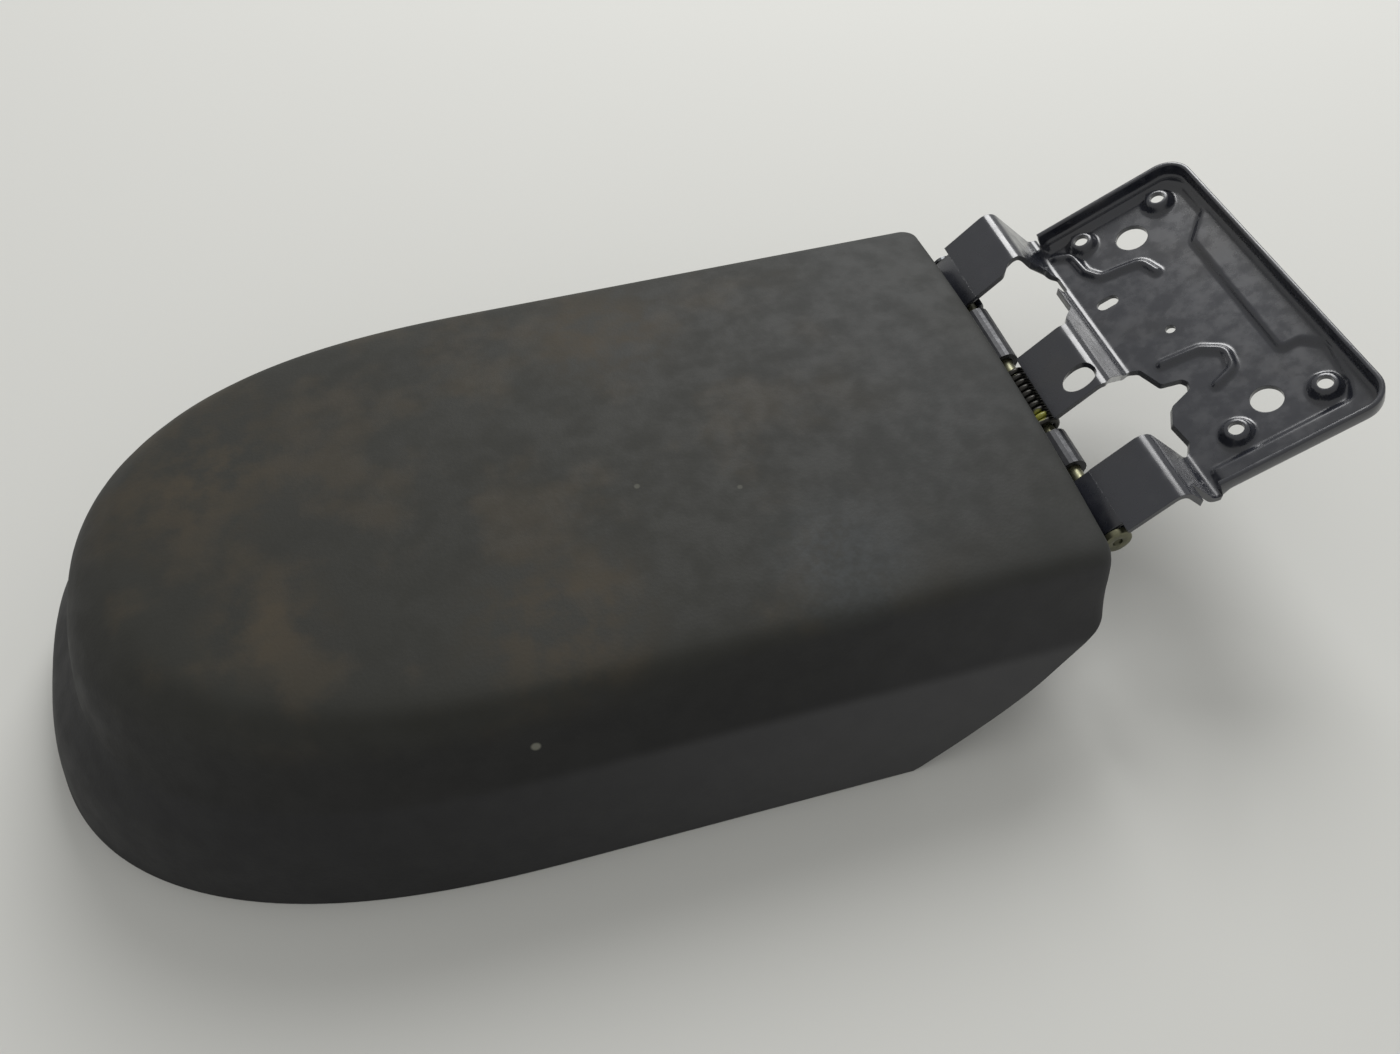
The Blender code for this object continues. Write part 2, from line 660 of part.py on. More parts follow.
def make_hinge_frame():
    """Make the steel frame inside the lid, with two knuckles rolled round the pin."""
    finish = material("frame_steel", "3a3c40", 0.4, 0.8)
    wide = FRAME_HALF_WIDTH
    frame = side_prism("hinge_frame", frame_profile(), -wide, wide, finish)
    spans = [-wide - 1.0] + [y for knuckle in KNUCKLES for y in knuckle] + [wide + 1.0]
    start = FRAME_END
    end = PIN[0] + CURL_OUTER + 1.0
    height = (LEAF_BOTTOM - 1.0, PIN_HEIGHT + CURL_OUTER + 1.0)
    for low, high in zip(spans[::2], spans[1::2]):
        combine(frame, box("gap", (start, end), (low, high), height), "DIFFERENCE")
    for side in (1, -1):
        span = sorted((side * (wide - 0.1), side * (wide - SHEET)))
        flange = box("flange", (FRAME_FRONT + 1.0, start - 6.0), span,
                     (LEAF_BOTTOM - FRAME_FLANGE, LEAF_TOP - SHEET / 2))
        combine(frame, flange, "UNION")
    for x, y in frame_screw_places():
        radius = FRAME_SCREW_RADIUS + RUNNING_GAP
        hole = plan_prism("hole", circle(x, y, radius), LEAF_BOTTOM - 2.0, LEAF_TOP + 2.0)
        combine(frame, hole, "DIFFERENCE")
    return smooth(frame)


def make_hinge_pin():
    """Make the headed pin and the clip that holds its other end."""
    zinc = material("zinc_plate", "8c8b74", 0.38, 0.9)
    r, head = PIN_RADIUS, PIN_HEAD_RADIUS
    near = -EYE_SPAN - RUNNING_GAP
    far = EYE_SPAN + RUNNING_GAP + CLIP_THICKNESS + PIN_TAIL
    face = near - PIN_HEAD_THICKNESS
    profile = [(0.0, face + 0.9), (1.3, face + 0.9), (1.6, face), (head - 0.4, face),
               (head, face + 0.4), (head, near), (r, near), (r, far - 0.6),
               (r - 0.6, far), (0.0, far)]
    turned("hinge_pin", profile, (PIN[0], 0.0, PIN[1]), zinc, upright=False)
    low = EYE_SPAN + RUNNING_GAP
    ring("pin_clip", PIN_RADIUS + RUNNING_GAP, PIN_HEAD_RADIUS, low, low + CLIP_THICKNESS,
         (PIN[0], 0.0, PIN[1]), material("clip_steel", "55575a", 0.35, 1.0), upright=False)


def tube(name, path, radius, finish, sides=6):
    """Sweep a round section along a path of points in millimetres."""
    path = np.array(path, dtype=float)
    tangents = np.gradient(path, axis=0)
    tangents /= np.linalg.norm(tangents, axis=1)[:, None]
    up = np.array([0.0, 1.0, 0.0])
    sections = []
    for point, tangent in zip(path, tangents):
        side = np.cross(tangent, up)
        if np.linalg.norm(side) < 0.2:
            side = np.cross(tangent, (1.0, 0.0, 0.0))
        side /= np.linalg.norm(side)
        lift = np.cross(side, tangent)
        turn = [math.tau * k / sides for k in range(sides)]
        sections.append([tuple(point + radius * (side * math.cos(a) + lift * math.sin(a)))
                         for a in turn])
    return smooth(sweep(name, sections, finish), math.radians(80.0))


def spring_radius():
    """Give the torsion spring's mean coil radius."""
    return PIN_RADIUS + GAP + SPRING_WIRE_RADIUS


def make_torsion_spring():
    """Make the coil on the pin, one leg on the frame and one under the centre arm."""
    finish = material("spring_steel", "3c3d3c", 0.35, 0.9)
    mean = spring_radius()
    low = SPRING_SPAN[0] + SPRING_WIRE_RADIUS
    high = SPRING_SPAN[1] - SPRING_WIRE_RADIUS
    rest = LEAF_TOP + RUNNING_GAP + SPRING_WIRE_RADIUS
    foot = (FRAME_END - SPRING_LEG, low, rest)
    knee = (LID_REAR - SKIN_THICKNESS - CARRIER_WALL - 2 * GAP, low, rest)
    tip_along = SPRING_LEG
    tip_off = CURL_INNER - SPRING_WIRE_RADIUS - RUNNING_GAP
    tip = tip_along * ARM_DIRECTION + tip_off * ARM_NORMAL
    tip_angle = math.atan2(tip[1], tip[0])
    leave = tip_angle - math.acos(mean / math.hypot(*tip))
    start = math.pi / 2 + math.radians(12.0)
    total = start - leave + math.tau * (SPRING_TURNS - 1)
    steps = 12 * SPRING_TURNS
    path = [foot, knee]
    for k in range(steps + 1):
        share = k / steps
        angle = start - total * share
        path.append((PIN[0] + mean * math.cos(angle), low + (high - low) * share,
                     PIN[1] + mean * math.sin(angle)))
    path.append((PIN[0] + tip[0], high, PIN[1] + tip[1]))
    return tube("torsion_spring", path, SPRING_WIRE_RADIUS, finish, sides=5)


def bent(points, radii, steps=4):
    """Round the inner corners of a path in X and Z with arcs."""
    path = [np.array(points[0], dtype=float)]
    for before, corner, after, radius in zip(points, points[1:], points[2:], radii):
        before, corner, after = (np.array(p, dtype=float) for p in (before, corner, after))
        a = (before - corner) / np.linalg.norm(before - corner)
        b = (after - corner) / np.linalg.norm(after - corner)
        half = math.acos(float(np.clip(a @ b, -1.0, 1.0))) / 2
        back = radius / math.tan(half)
        centre = corner + (a + b) / np.linalg.norm(a + b) * radius / math.sin(half)
        first, last = corner + a * back - centre, corner + b * back - centre
        turn = math.atan2(first[0] * last[1] - first[1] * last[0], first @ last)
        for k in range(steps + 1):
            c, s = math.cos(turn * k / steps), math.sin(turn * k / steps)
            path.append(centre + np.array([first[0] * c - first[1] * s,
                                           first[0] * s + first[1] * c]))
    path.append(np.array(points[-1], dtype=float))
    return path


def plate_spot(along, lift=0.0):
    """Give X and Z of a point on the plate's upper face, or lifted off it."""
    return PIN + VALLEY + along * PLATE_DIRECTION + lift * PLATE_NORMAL


def arm_spot(along):
    """Give X and Z of a point on the rising arms' upper face."""
    return PIN + along * ARM_DIRECTION + CURL_OUTER * ARM_NORMAL


def thickened(path, thickness):
    """Give the closed outline of a strip whose upper face follows the path."""
    path = np.array(path)
    tangents = np.gradient(path, axis=0)
    tangents /= np.linalg.norm(tangents, axis=1)[:, None]
    normals = np.stack([tangents[:, 1], -tangents[:, 0]], axis=1)
    return [tuple(p) for p in path] + [tuple(p) for p in (path + thickness * normals)[::-1]]


def bracket_profile(start):
    """Give the bracket's side outline from a place on its arms to the plate's end."""
    corners = [arm_spot(start), CREST, plate_spot(0.0), plate_spot(PLATE_LENGTH)]
    upper = BEND_RADIUS + SHEET
    path = bent(corners, (upper, BEND_RADIUS))
    return path


def curl_outline():
    """Give the side outline of an arm's rolled eye with a short run of its arm."""
    first = 90.0 + math.degrees(ARM_ANGLE)
    outer = arc(PIN, CURL_OUTER, first, first + 265.0, 16)
    inner = arc(PIN, CURL_INNER, first + 265.0, first, 16)
    run = 4.0
    top = arm_spot(run)
    return [tuple(top)] + outer + inner + [tuple(top - SHEET * ARM_NORMAL)]


def opening_left():
    """Give the plan outline of the cut-out between the left and centre arms."""
    crest, valley = CREST[0], (PIN + VALLEY)[0]
    hinge = PIN[0] - CURL_OUTER - GAP
    left, centre = LEFT_ARM_EDGE, CENTRE_ARM[1]
    (x, y), *web = LEFT_WEB
    outline = [(hinge, centre), (crest, centre), (crest + x, centre + y)]
    outline += [(valley + x, centre + y) for x, y in web]
    outline += [(valley + x, left - y) for x, y in LEFT_NOTCH]
    outline += [(crest + x, left - y) for x, y in LEFT_CREST_NOTCH]
    return outline + [(hinge, left)]


def opening_right():
    """Give the plan outline of the cut-out between the centre and right arms."""
    crest, valley = CREST[0], (PIN + VALLEY)[0]
    hinge = PIN[0] - CURL_OUTER - GAP
    centre, right = CENTRE_ARM[0], RIGHT_ARM_EDGE
    outline = [(hinge, right), (crest, right)]
    outline += [(valley + x, right + y) for x, y in RIGHT_NOTCH]
    outline += [(valley + x, centre - y) for x, y in RIGHT_WEB]
    return outline + [(crest, centre), (hinge, centre)]


def capsule(x, y, length, radius, steps=8):
    """Give the plan outline of a slot with round ends, along X."""
    reach = length / 2 - radius
    ends = []
    for side in (1, -1):
        for k in range(steps + 1):
            angle = -math.pi / 2 + math.pi * k / steps + (0.0 if side > 0 else math.pi)
            ends.append((x + side * reach + radius * math.cos(angle),
                         y + radius * math.sin(angle)))
    return ends


def plate_prism(name, outline, low, high):
    """Extrude an outline given on the plate, as (along, across), off its face."""
    sections = []
    for lift in (low, high):
        spots = [(plate_spot(along, lift), across) for along, across in outline]
        sections.append([(p[0], across, p[1]) for p, across in spots])
    return sweep(name, sections)


def rounded_plate(inset, start=0.0):
    """Give the plate's outline from its root, with its two far corners rounded."""
    far = PLATE_LENGTH - inset
    radius = max(PLATE_CORNER - inset, 1.0)
    low, high = PLATE_EDGES[0] + inset, PLATE_EDGES[1] - inset
    turns = [math.pi / 2 * k / 6 for k in range(7)]
    outline = [(start, high)]
    outline += [(far - radius + radius * math.sin(a), high - radius + radius * math.cos(a))
                for a in turns]
    outline += [(far - radius + radius * math.cos(a), low + radius - radius * math.sin(a))
                for a in turns]
    return outline + [(start, low)]


def ledge_line():
    """Give the inner edge of the raised border round the plate's far sides."""
    low, high = PLATE_EDGES
    line = [(LEDGE_START, high - LEDGE_SIDE)]
    line += [(PLATE_LENGTH - setback, across) for setback, across in LEDGE_LINE]
    return line + [(LEDGE_START, low + LEDGE_SIDE + LEDGE_START)]


def bead(name, route):
    """Make a low half-round ridge along a route on the plate."""
    route = np.array(route, dtype=float)
    ways = np.gradient(route, axis=0)
    ways /= np.linalg.norm(ways, axis=1)[:, None]
    sections = []
    for (along, across), (da, dc) in zip(route, ways):
        section = []
        for off, lift in ((-1.0, -0.4), (-0.75, 0.5), (0.0, 1.0), (0.75, 0.5), (1.0, -0.4)):
            spot = plate_spot(along - dc * off * BEAD_RADIUS, lift * BEAD_HEIGHT)
            section.append((spot[0], across + da * off * BEAD_RADIUS, spot[1]))
        sections.append(section)
    return sweep(name, sections)


def tongue_start():
    """Give how far along the arms the spring's coil leaves them clear to begin."""
    reach = spring_radius() + SPRING_WIRE_RADIUS + GAP
    return math.sqrt(reach ** 2 - CURL_INNER ** 2)


def make_bracket_plate(finish):
    """Make the plate and arms of the bracket, before its eyes are added."""
    path = bracket_profile(tongue_start())
    wide = max(ARM_SPAN, *np.abs(PLATE_EDGES)) + 1.0
    bracket = side_prism("hinge_bracket", thickened(path, SHEET), -wide, wide, finish)
    for outline in (opening_left(), opening_right()):
        combine(bracket, plan_prism("opening", outline, 0.0, SKY), "DIFFERENCE")
    arms = (-ARM_SPAN, ARM_SPAN)
    keep = box("arm_zone", (LID_REAR, CREST[0] + FALL_REACH), arms, (0.0, SKY))
    root = plate_spot(PLATE_ROOT)[0]
    fall = box("fall_zone", (CREST[0], root), (PLATE_EDGES[0], ARM_SPAN), (0.0, SKY))
    combine(keep, fall, "UNION")
    combine(keep, plate_prism("plate_zone", rounded_plate(0.0), *THROUGH), "UNION")
    return combine(bracket, keep, "INTERSECT")


def add_plate_features(bracket):
    """Add the rim flange, the raised border, the beads, the bosses and the holes."""
    rim = rounded_plate(0.1, PLATE_ROOT) + rounded_plate(SHEET, PLATE_ROOT)[::-1]
    combine(bracket, plate_prism("rim", rim, -SHEET / 2, RIM_FLANGE), "UNION")
    ledge = rounded_plate(SHEET / 2, LEDGE_START) + ledge_line()[::-1]
    combine(bracket, plate_prism("ledge", ledge, -SHEET / 2, LEDGE_HEIGHT), "UNION")
    for route in (SNAKE_BEAD, HOOK_BEAD):
        combine(bracket, bead("bead", route), "UNION")
    for along, across in BOSS_PLACES:
        outline = circle(along, across, BOSS_RADIUS, 16)
        combine(bracket, plate_prism("boss", outline, -SHEET / 2, BOSS_HEIGHT), "UNION")
    holes = [(along, across, SCREW_HOLE_RADIUS) for along, across in BOSS_PLACES]
    for along, across, radius in holes + list(LOCATING_HOLES):
        outline = circle(along, across, radius, 16)
        combine(bracket, plate_prism("hole", outline, *THROUGH), "DIFFERENCE")
    combine(bracket, plate_prism("plate_slot", capsule(*PLATE_SLOT), *THROUGH), "DIFFERENCE")
    setback, across, length, radius = ARM_SLOT
    outline = capsule(arm_spot(ARM_LENGTH + setback)[0], across, length, radius)
    combine(bracket, plan_prism("arm_slot", outline, 0.0, SKY), "DIFFERENCE")


def make_hinge_bracket():
    """Make the stamped bracket: three arms, rolled eyes and the flanged plate."""
    finish = material("black_coated_steel", "34353a", 0.3, 0.5)
    bracket = make_bracket_plate(finish)
    add_plate_features(bracket)
    for low, high in ((-EYE_SPAN, RIGHT_ARM_EDGE), (LEFT_ARM_EDGE, EYE_SPAN)):
        eye = side_prism("eye", arm_start_outline(), low, high)
        combine(bracket, eye, "UNION")
    bracket.data.materials.clear()
    bracket.data.materials.append(finish)
    return smooth(bracket)


def arm_start_outline():
    """Give the outline of a rolled eye that runs on into its arm."""
    outline = curl_outline()
    run = tongue_start() + 1.0
    top = arm_spot(run) - 0.05 * ARM_NORMAL
    bottom = arm_spot(run) - (SHEET - 0.05) * ARM_NORMAL
    return [tuple(top)] + outline[1:-1] + [tuple(bottom)]


def make_latch():
    """Make the front catch: a paddle with a hook, its pivot pin and its spring."""
    black = material("latch_plastic", "1f1f21", 0.45)
    steel = material("latch_steel", "8a8b8d", 0.35, 1.0)
    x, z = LATCH_PIVOT
    wide = LATCH_HALF_WIDTH
    low = z - LUG_REACH
    outline = [(x - LATCH_LENGTH, low), (x + 2.0, low), (x + 2.0, 1.8), (x - 2.0, 1.8),
               (x - 2.0, 0.8), (x + 5.0, 0.8), (x + 5.0, z + 2.0), (x + 3.0, z + 3.2),
               (x - 3.0, z + 3.2), (x - 4.0, low + LATCH_THICKNESS),
               (x - LATCH_LENGTH, low + LATCH_THICKNESS)]
    lever = side_prism("latch_lever", outline, -wide, wide, black)
    for side in (1, -1):
        span = sorted((side * LATCH_HOOK_HALF_WIDTH, side * (wide + 1.0)))
        cutter = box("hook_gap", (x - 3.0, x + 6.0), span, (0.0, low))
        combine(lever, cutter, "DIFFERENCE")
    hole = [(x + p, z + q) for p, q in circle(0, 0, LATCH_PIN_RADIUS + RUNNING_GAP, 12)]
    combine(lever, side_prism("pin_hole", hole, -wide - 1.0, wide + 1.0), "DIFFERENCE")
    end = wide + RUNNING_GAP + LUG_THICKNESS + GAP
    r = LATCH_PIN_RADIUS
    profile = [(0.0, -end), (r - 0.3, -end), (r, -end + 0.3), (r, end - 0.3),
               (r - 0.3, end), (0.0, end)]
    turned("latch_pin", profile, (x, 0.0, z), steel, upright=False, steps=12)
    spring_low = low + LATCH_THICKNESS + RUNNING_GAP + LATCH_SPRING_WIRE
    spring_high = LINER_RECESS - RUNNING_GAP - LATCH_SPRING_WIRE
    turns = LATCH_SPRING_TURNS
    steps = 10 * turns
    centre = x - LATCH_LENGTH * 0.6
    path = []
    for k in range(steps + 1):
        angle = math.tau * turns * k / steps
        path.append((centre + LATCH_SPRING_RADIUS * math.cos(angle),
                     LATCH_SPRING_RADIUS * math.sin(angle),
                     spring_low + (spring_high - spring_low) * k / steps))
    tube("latch_spring", path, LATCH_SPRING_WIRE, steel, sides=4)


def main():
    """Build every piece of the armrest."""
    clear_scene()
    make_cover_skin()
    make_foam_pad()
    make_lid_carrier()
    make_underside_liner()
    make_hinge_frame()
    make_hinge_pin()
    make_torsion_spring()
    make_hinge_bracket()
    make_screws()
    make_bumpers()
    make_latch()


main()
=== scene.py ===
"""Looks of the car armrest: soft skin, pressed bracket, spring, pin and small parts.

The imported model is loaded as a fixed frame. Lengths in this file are millimetres and
are turned to metres when a mesh or a mask is made. Only the lamp and the camera stand
in metres. X runs to the hinge bracket, Z is up.
"""

from __future__ import annotations

import logging
import math
from dataclasses import dataclass
from enum import Enum

import bmesh
import bpy
import numpy as np
from bpy.types import ID, Material, Node, NodeSocket, Object
from mathutils import Matrix, Vector
from numpy import ndarray


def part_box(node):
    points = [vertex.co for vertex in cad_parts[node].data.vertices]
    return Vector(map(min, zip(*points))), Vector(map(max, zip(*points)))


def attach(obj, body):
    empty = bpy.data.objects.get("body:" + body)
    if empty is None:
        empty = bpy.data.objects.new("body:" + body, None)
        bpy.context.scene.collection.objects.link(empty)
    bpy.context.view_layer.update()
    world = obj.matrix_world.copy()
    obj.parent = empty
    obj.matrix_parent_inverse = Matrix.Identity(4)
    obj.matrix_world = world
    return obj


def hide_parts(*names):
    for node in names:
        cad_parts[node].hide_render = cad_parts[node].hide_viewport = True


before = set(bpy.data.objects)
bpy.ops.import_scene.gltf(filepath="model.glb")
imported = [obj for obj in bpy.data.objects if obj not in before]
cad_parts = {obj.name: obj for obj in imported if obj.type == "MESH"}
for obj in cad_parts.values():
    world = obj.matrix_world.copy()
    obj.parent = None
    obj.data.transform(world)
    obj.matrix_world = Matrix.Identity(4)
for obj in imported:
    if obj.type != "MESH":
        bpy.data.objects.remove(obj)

MM = 0.001
log = logging.getLogger("armrest")


# Numbers and curves


def smoothstep(low: float, high: float, value: ndarray) -> ndarray:
    """Ease from 0 at low to 1 at high as 3t squared less 2t cubed, with t held to 0 to 1."""
    t = np.clip((value - low) / (high - low), 0.0, 1.0)
    return t * t * (3.0 - 2.0 * t)


def monotone_curve(knots: ndarray, heights: ndarray, at: ndarray) -> ndarray:
    """Read a cubic Hermite curve through knots, with slopes that never overshoot.

    The slope at a knot is the harmonic mean of the slopes beside it, or 0 where they
    differ in sign.

    Args:
        knots: Rising positions of the knots.
        heights: One row of values for each knot.
        at: Positions to read.

    Returns:
        An array shaped as at, with the columns of heights added.
    """
    slope = np.diff(heights, axis=0) / np.diff(knots)[:, None]
    before, after = slope[:-1], slope[1:]
    total = np.where(before + after == 0, 1.0, before + after)
    mean = np.where(before * after > 0, 2.0 * before * after / total, 0.0)
    tangent = np.concatenate([slope[:1], mean, slope[-1:]])
    index = np.clip(np.searchsorted(knots, at, side="right") - 1, 0, len(knots) - 2)
    width = (knots[index + 1] - knots[index])[..., None]
    t = (at - knots[index])[..., None] / width
    return ((2 * t ** 3 - 3 * t ** 2 + 1) * heights[index]
            + (t ** 3 - 2 * t ** 2 + t) * width * tangent[index]
            + (3 * t ** 2 - 2 * t ** 3) * heights[index + 1]
            + (t ** 3 - t ** 2) * width * tangent[index + 1])


def rounded(corners: tuple | list, radius: float, closed: bool = False, steps: int = 6) -> ndarray:
    """Round the corners of a flat path with smooth bends.

    Each bend starts the radius over the tangent of half the corner's angle before the
    corner, held to under half of the shorter side beside it, and is a quadratic curve.

    Args:
        corners: Corner points, one row each.
        radius: Radius of the bends.
        closed: Whether the path returns to its first corner.
        steps: Faces along each bend.

    Returns:
        The rounded path's points.
    """
    points = np.array(corners, dtype=float)
    a, b = np.roll(points, 1, axis=0) - points, np.roll(points, -1, axis=0) - points
    long_a, long_b = np.linalg.norm(a, axis=1), np.linalg.norm(b, axis=1)
    a, b = a / long_a[:, None], b / long_b[:, None]
    half = np.arccos(np.clip((a * b).sum(axis=1), -1.0, 1.0)) / 2.0
    back = np.minimum(radius / np.tan(np.maximum(half, 1e-3)),
                      0.48 * np.minimum(long_a, long_b))[:, None]
    t = np.linspace(0.0, 1.0, steps + 1)[None, :, None]
    bends = ((1 - t) ** 2 * (points + a * back)[:, None]
             + 2 * t * (1 - t) * points[:, None] + t ** 2 * (points + b * back)[:, None])
    if closed:
        return bends.reshape(-1, 2)
    return np.concatenate([points[:1], bends[1:-1].reshape(-1, 2), points[-1:]])


def distance_to(route: ndarray, along: ndarray, across: ndarray) -> ndarray:
    """Give each point's distance to the nearest straight run of a route.

    Args:
        route: The route's points, one row each.
        along: First coordinates of the points.
        across: Second coordinates of the points.

    Returns:
        The distances, shaped as along.
    """
    near = np.full(along.shape, np.inf)
    for start, run in zip(route[:-1], np.diff(route, axis=0)):
        off_a, off_b = along - start[0], across - start[1]
        share = np.clip((off_a * run[0] + off_b * run[1]) / (run @ run), 0.0, 1.0)
        near = np.minimum(near, np.hypot(off_a - share * run[0], off_b - share * run[1]))
    return near


def inside_outline(outline: ndarray, x: ndarray, y: ndarray) -> ndarray:
    """Tell which points lie inside an outline, by counting crossings to one side.

    Args:
        outline: The outline's points, one row each.
        x: First coordinates of the points to test.
        y: Their second coordinates.

    Returns:
        True for each point inside, shaped as x.
    """
    crossings = np.zeros(x.shape, dtype=int)
    for (x0, y0), (x1, y1) in zip(outline, np.roll(outline, -1, axis=0)):
        if y0 != y1:
            spans = (y0 > y) != (y1 > y)
            crossings += spans & (x < (x1 - x0) * (y - y0) / (y1 - y0) + x0)
    return crossings % 2 == 1


def points_of(*axes: object) -> ndarray:
    """Join coordinates into points, each of them repeated to their common shape."""
    return np.stack(np.broadcast_arrays(*axes), axis=-1)


def moved(points: tuple, x: float, y: float, side: float = 1.0) -> list[tuple]:
    """Move flat points to a place, turned over across X where the side is -1."""
    return [(x + a, y + side * b) for a, b in points]


def circle_outline(a: float, b: float, radius: float, steps: int = 40) -> ndarray:
    """Give the points of a circle."""
    angle = np.linspace(0.0, math.tau, steps, endpoint=False)
    return points_of(a + radius * np.cos(angle), b + radius * np.sin(angle))


def slot_outline(a: float, b: float, length: float, radius: float) -> ndarray:
    """Give the points of a slot with round ends, long in its first coordinate.

    Args:
        a: First coordinate of its middle.
        b: Second coordinate of its middle.
        length: Length over the round ends.
        radius: Radius of the ends.

    Returns:
        The points, one row each.
    """
    points = circle_outline(0.0, b, radius)
    side = np.where(points[:, 0] >= 0.0, 1.0, -1.0)
    points[:, 0] += a + side * (length / 2.0 - radius)
    return points


# Meshes


def grid_faces(rows: int, columns: int, closed: bool = False) -> ndarray:
    """Give the quads of a grid whose points are stored row by row.

    Args:
        rows: Number of rows of points.
        columns: Number of points in a row.
        closed: Whether the last column joins the first.

    Returns:
        An array of four point numbers for each quad.
    """
    j, i = np.meshgrid(np.arange(rows - 1), np.arange(columns if closed else columns - 1),
                       indexing="ij")
    k = (i + 1) % columns
    quads = np.stack([j * columns + i, j * columns + k, (j + 1) * columns + k,
                      (j + 1) * columns + i], axis=-1)
    return quads.reshape(-1, 4)


def new_mesh(name: str, points: ndarray, faces: list, weld: float = 0.0,
             sharp: float = 35.0) -> Object:
    """Make an object from millimetre points, with its faces turned outward.

    Args:
        name: Name of the object.
        points: Points, one row each, in millimetres.
        faces: Point numbers of each face.
        weld: Distance within which points are merged, in millimetres.
        sharp: Angle past which an edge stays sharp, in degrees.

    Returns:
        The new object, at the origin.
    """
    mesh = bpy.data.meshes.new(name)
    mesh.from_pydata((points * MM).tolist(), [], faces)
    body = bmesh.new()
    body.from_mesh(mesh)
    if weld > 0.0:
        bmesh.ops.remove_doubles(body, verts=body.verts, dist=weld * MM)
        bmesh.ops.dissolve_degenerate(body, edges=body.edges, dist=weld * MM)
    bmesh.ops.recalc_face_normals(body, faces=body.faces)
    body.to_mesh(mesh)
    body.free()
    return shaded(linked(name, mesh), sharp)


def linked(name: str, data: ID) -> Object:
    """Put a mesh, lamp or camera into the scene as an object at the origin.

    Args:
        name: Name of the object.
        data: The mesh, lamp or camera.

    Returns:
        The new object.
    """
    made = bpy.data.objects.new(name, data)
    bpy.context.scene.collection.objects.link(made)
    return made


def shaded(thing: Object, sharp: float) -> Object:
    """Shade an object smooth and keep the edges past an angle sharp.

    Args:
        thing: The object, whose mesh changes.
        sharp: The angle, in degrees.

    Returns:
        The same object.
    """
    thing.data.shade_smooth()
    thing.data.set_sharp_from_angle(angle=math.radians(sharp))
    return thing


def swept(name: str, sections: ndarray | list, sharp: float = 35.0) -> Object:
    """Join matching closed sections into a capped solid.

    Args:
        name: Name of the object.
        sections: Sections of equally many points, from one end to the other.
        sharp: Angle past which an edge stays sharp, in degrees.

    Returns:
        The new object.
    """
    sections = np.asarray(sections)
    rows, count = sections.shape[:2]
    faces = grid_faces(rows, count, closed=True).tolist()
    faces += [list(range(count)), list(range((rows - 1) * count, rows * count))]
    return new_mesh(name, sections.reshape(-1, 3), faces, sharp=sharp)


def plan_prism(name: str, outline: ndarray, levels: tuple[float, float]) -> Object:
    """Extrude an outline in X and Y from one Z to another."""
    return swept(name, [points_of(*outline.T, z) for z in levels])


def combined(target: Object, tools: list[Object], operation: str) -> Object:
    """Run one exact Boolean of the target with several tools, and remove them.

    Args:
        target: Object that keeps its name and gets the result.
        tools: Solids that don't touch one another.
        operation: DIFFERENCE, UNION or INTERSECT.

    Returns:
        The target.
    """
    holder = bpy.data.collections.new("tools")
    bpy.context.scene.collection.children.link(holder)
    for tool in tools:
        holder.objects.link(tool)
    step = target.modifiers.new("cut", "BOOLEAN")
    step.operand_type = "COLLECTION"
    step.collection = holder
    step.operation = operation
    step.solver = "EXACT"
    graph = bpy.context.evaluated_depsgraph_get()
    result = bpy.data.meshes.new_from_object(target.evaluated_get(graph))
    target.modifiers.remove(step)
    target.data = result
    for tool in tools:
        bpy.data.objects.remove(tool, do_unlink=True)
    bpy.data.collections.remove(holder)
    return target


def joined(name: str, parts: list[Object]) -> Object:
    """Put several objects' meshes into one object, and remove them.

    Args:
        name: Name of the new object.
        parts: The objects to join.

    Returns:
        The new object.
    """
    body = bmesh.new()
    for part in parts:
        body.from_mesh(part.data)
        bpy.data.objects.remove(part, do_unlink=True)
    mesh = bpy.data.meshes.new(name)
    body.to_mesh(mesh)
    body.free()
    return linked(name, mesh)


def turned(name: str, profile: tuple, x: float, z: float, steps: int = 64) -> Object:
    """Turn (radius, Y) points about an axis along Y.

    Args:
        name: Name of the object.
        profile: Points from axis to axis, with their radius first.
        x: X of the axis.
        z: Z of the axis.
        steps: Facets around.

    Returns:
        The closed, turned object.
    """
    angle = np.linspace(0.0, math.tau, steps, endpoint=False)[:, None]
    radius, along = np.array(profile).T[:, None]
    points = points_of(x + radius * np.cos(angle), along, z + radius * np.sin(angle))
    faces = grid_faces(steps + 1, len(profile)) % (steps * len(profile))
    return new_mesh(name, points.reshape(-1, 3), faces.tolist(), weld=0.001)


def tube(name: str, path: ndarray, radius: float, sides: int = 14) -> Object:
    """Carry a circle along a path that never runs along Y.

    Each circle lies across the path, in the plane of the path's normal to Y and of
    their cross product.

    Args:
        name: Name of the object.
        path: The path's points.
        radius: Radius of the wire.
        sides: Facets round the wire.

    Returns:
        The capped tube.
    """
    way = np.gradient(path, axis=0)
    way /= np.linalg.norm(way, axis=1)[:, None]
    side = np.cross(way, (0.0, 1.0, 0.0))
    side /= np.linalg.norm(side, axis=1)[:, None]
    lift = np.cross(side, way)
    angle = np.linspace(0.0, math.tau, sides, endpoint=False)[None, :, None]
    rings = path[:, None] + radius * (np.cos(angle) * side[:, None]
                                      + np.sin(angle) * lift[:, None])
    return swept(name, rings, sharp=60.0)


# Materials


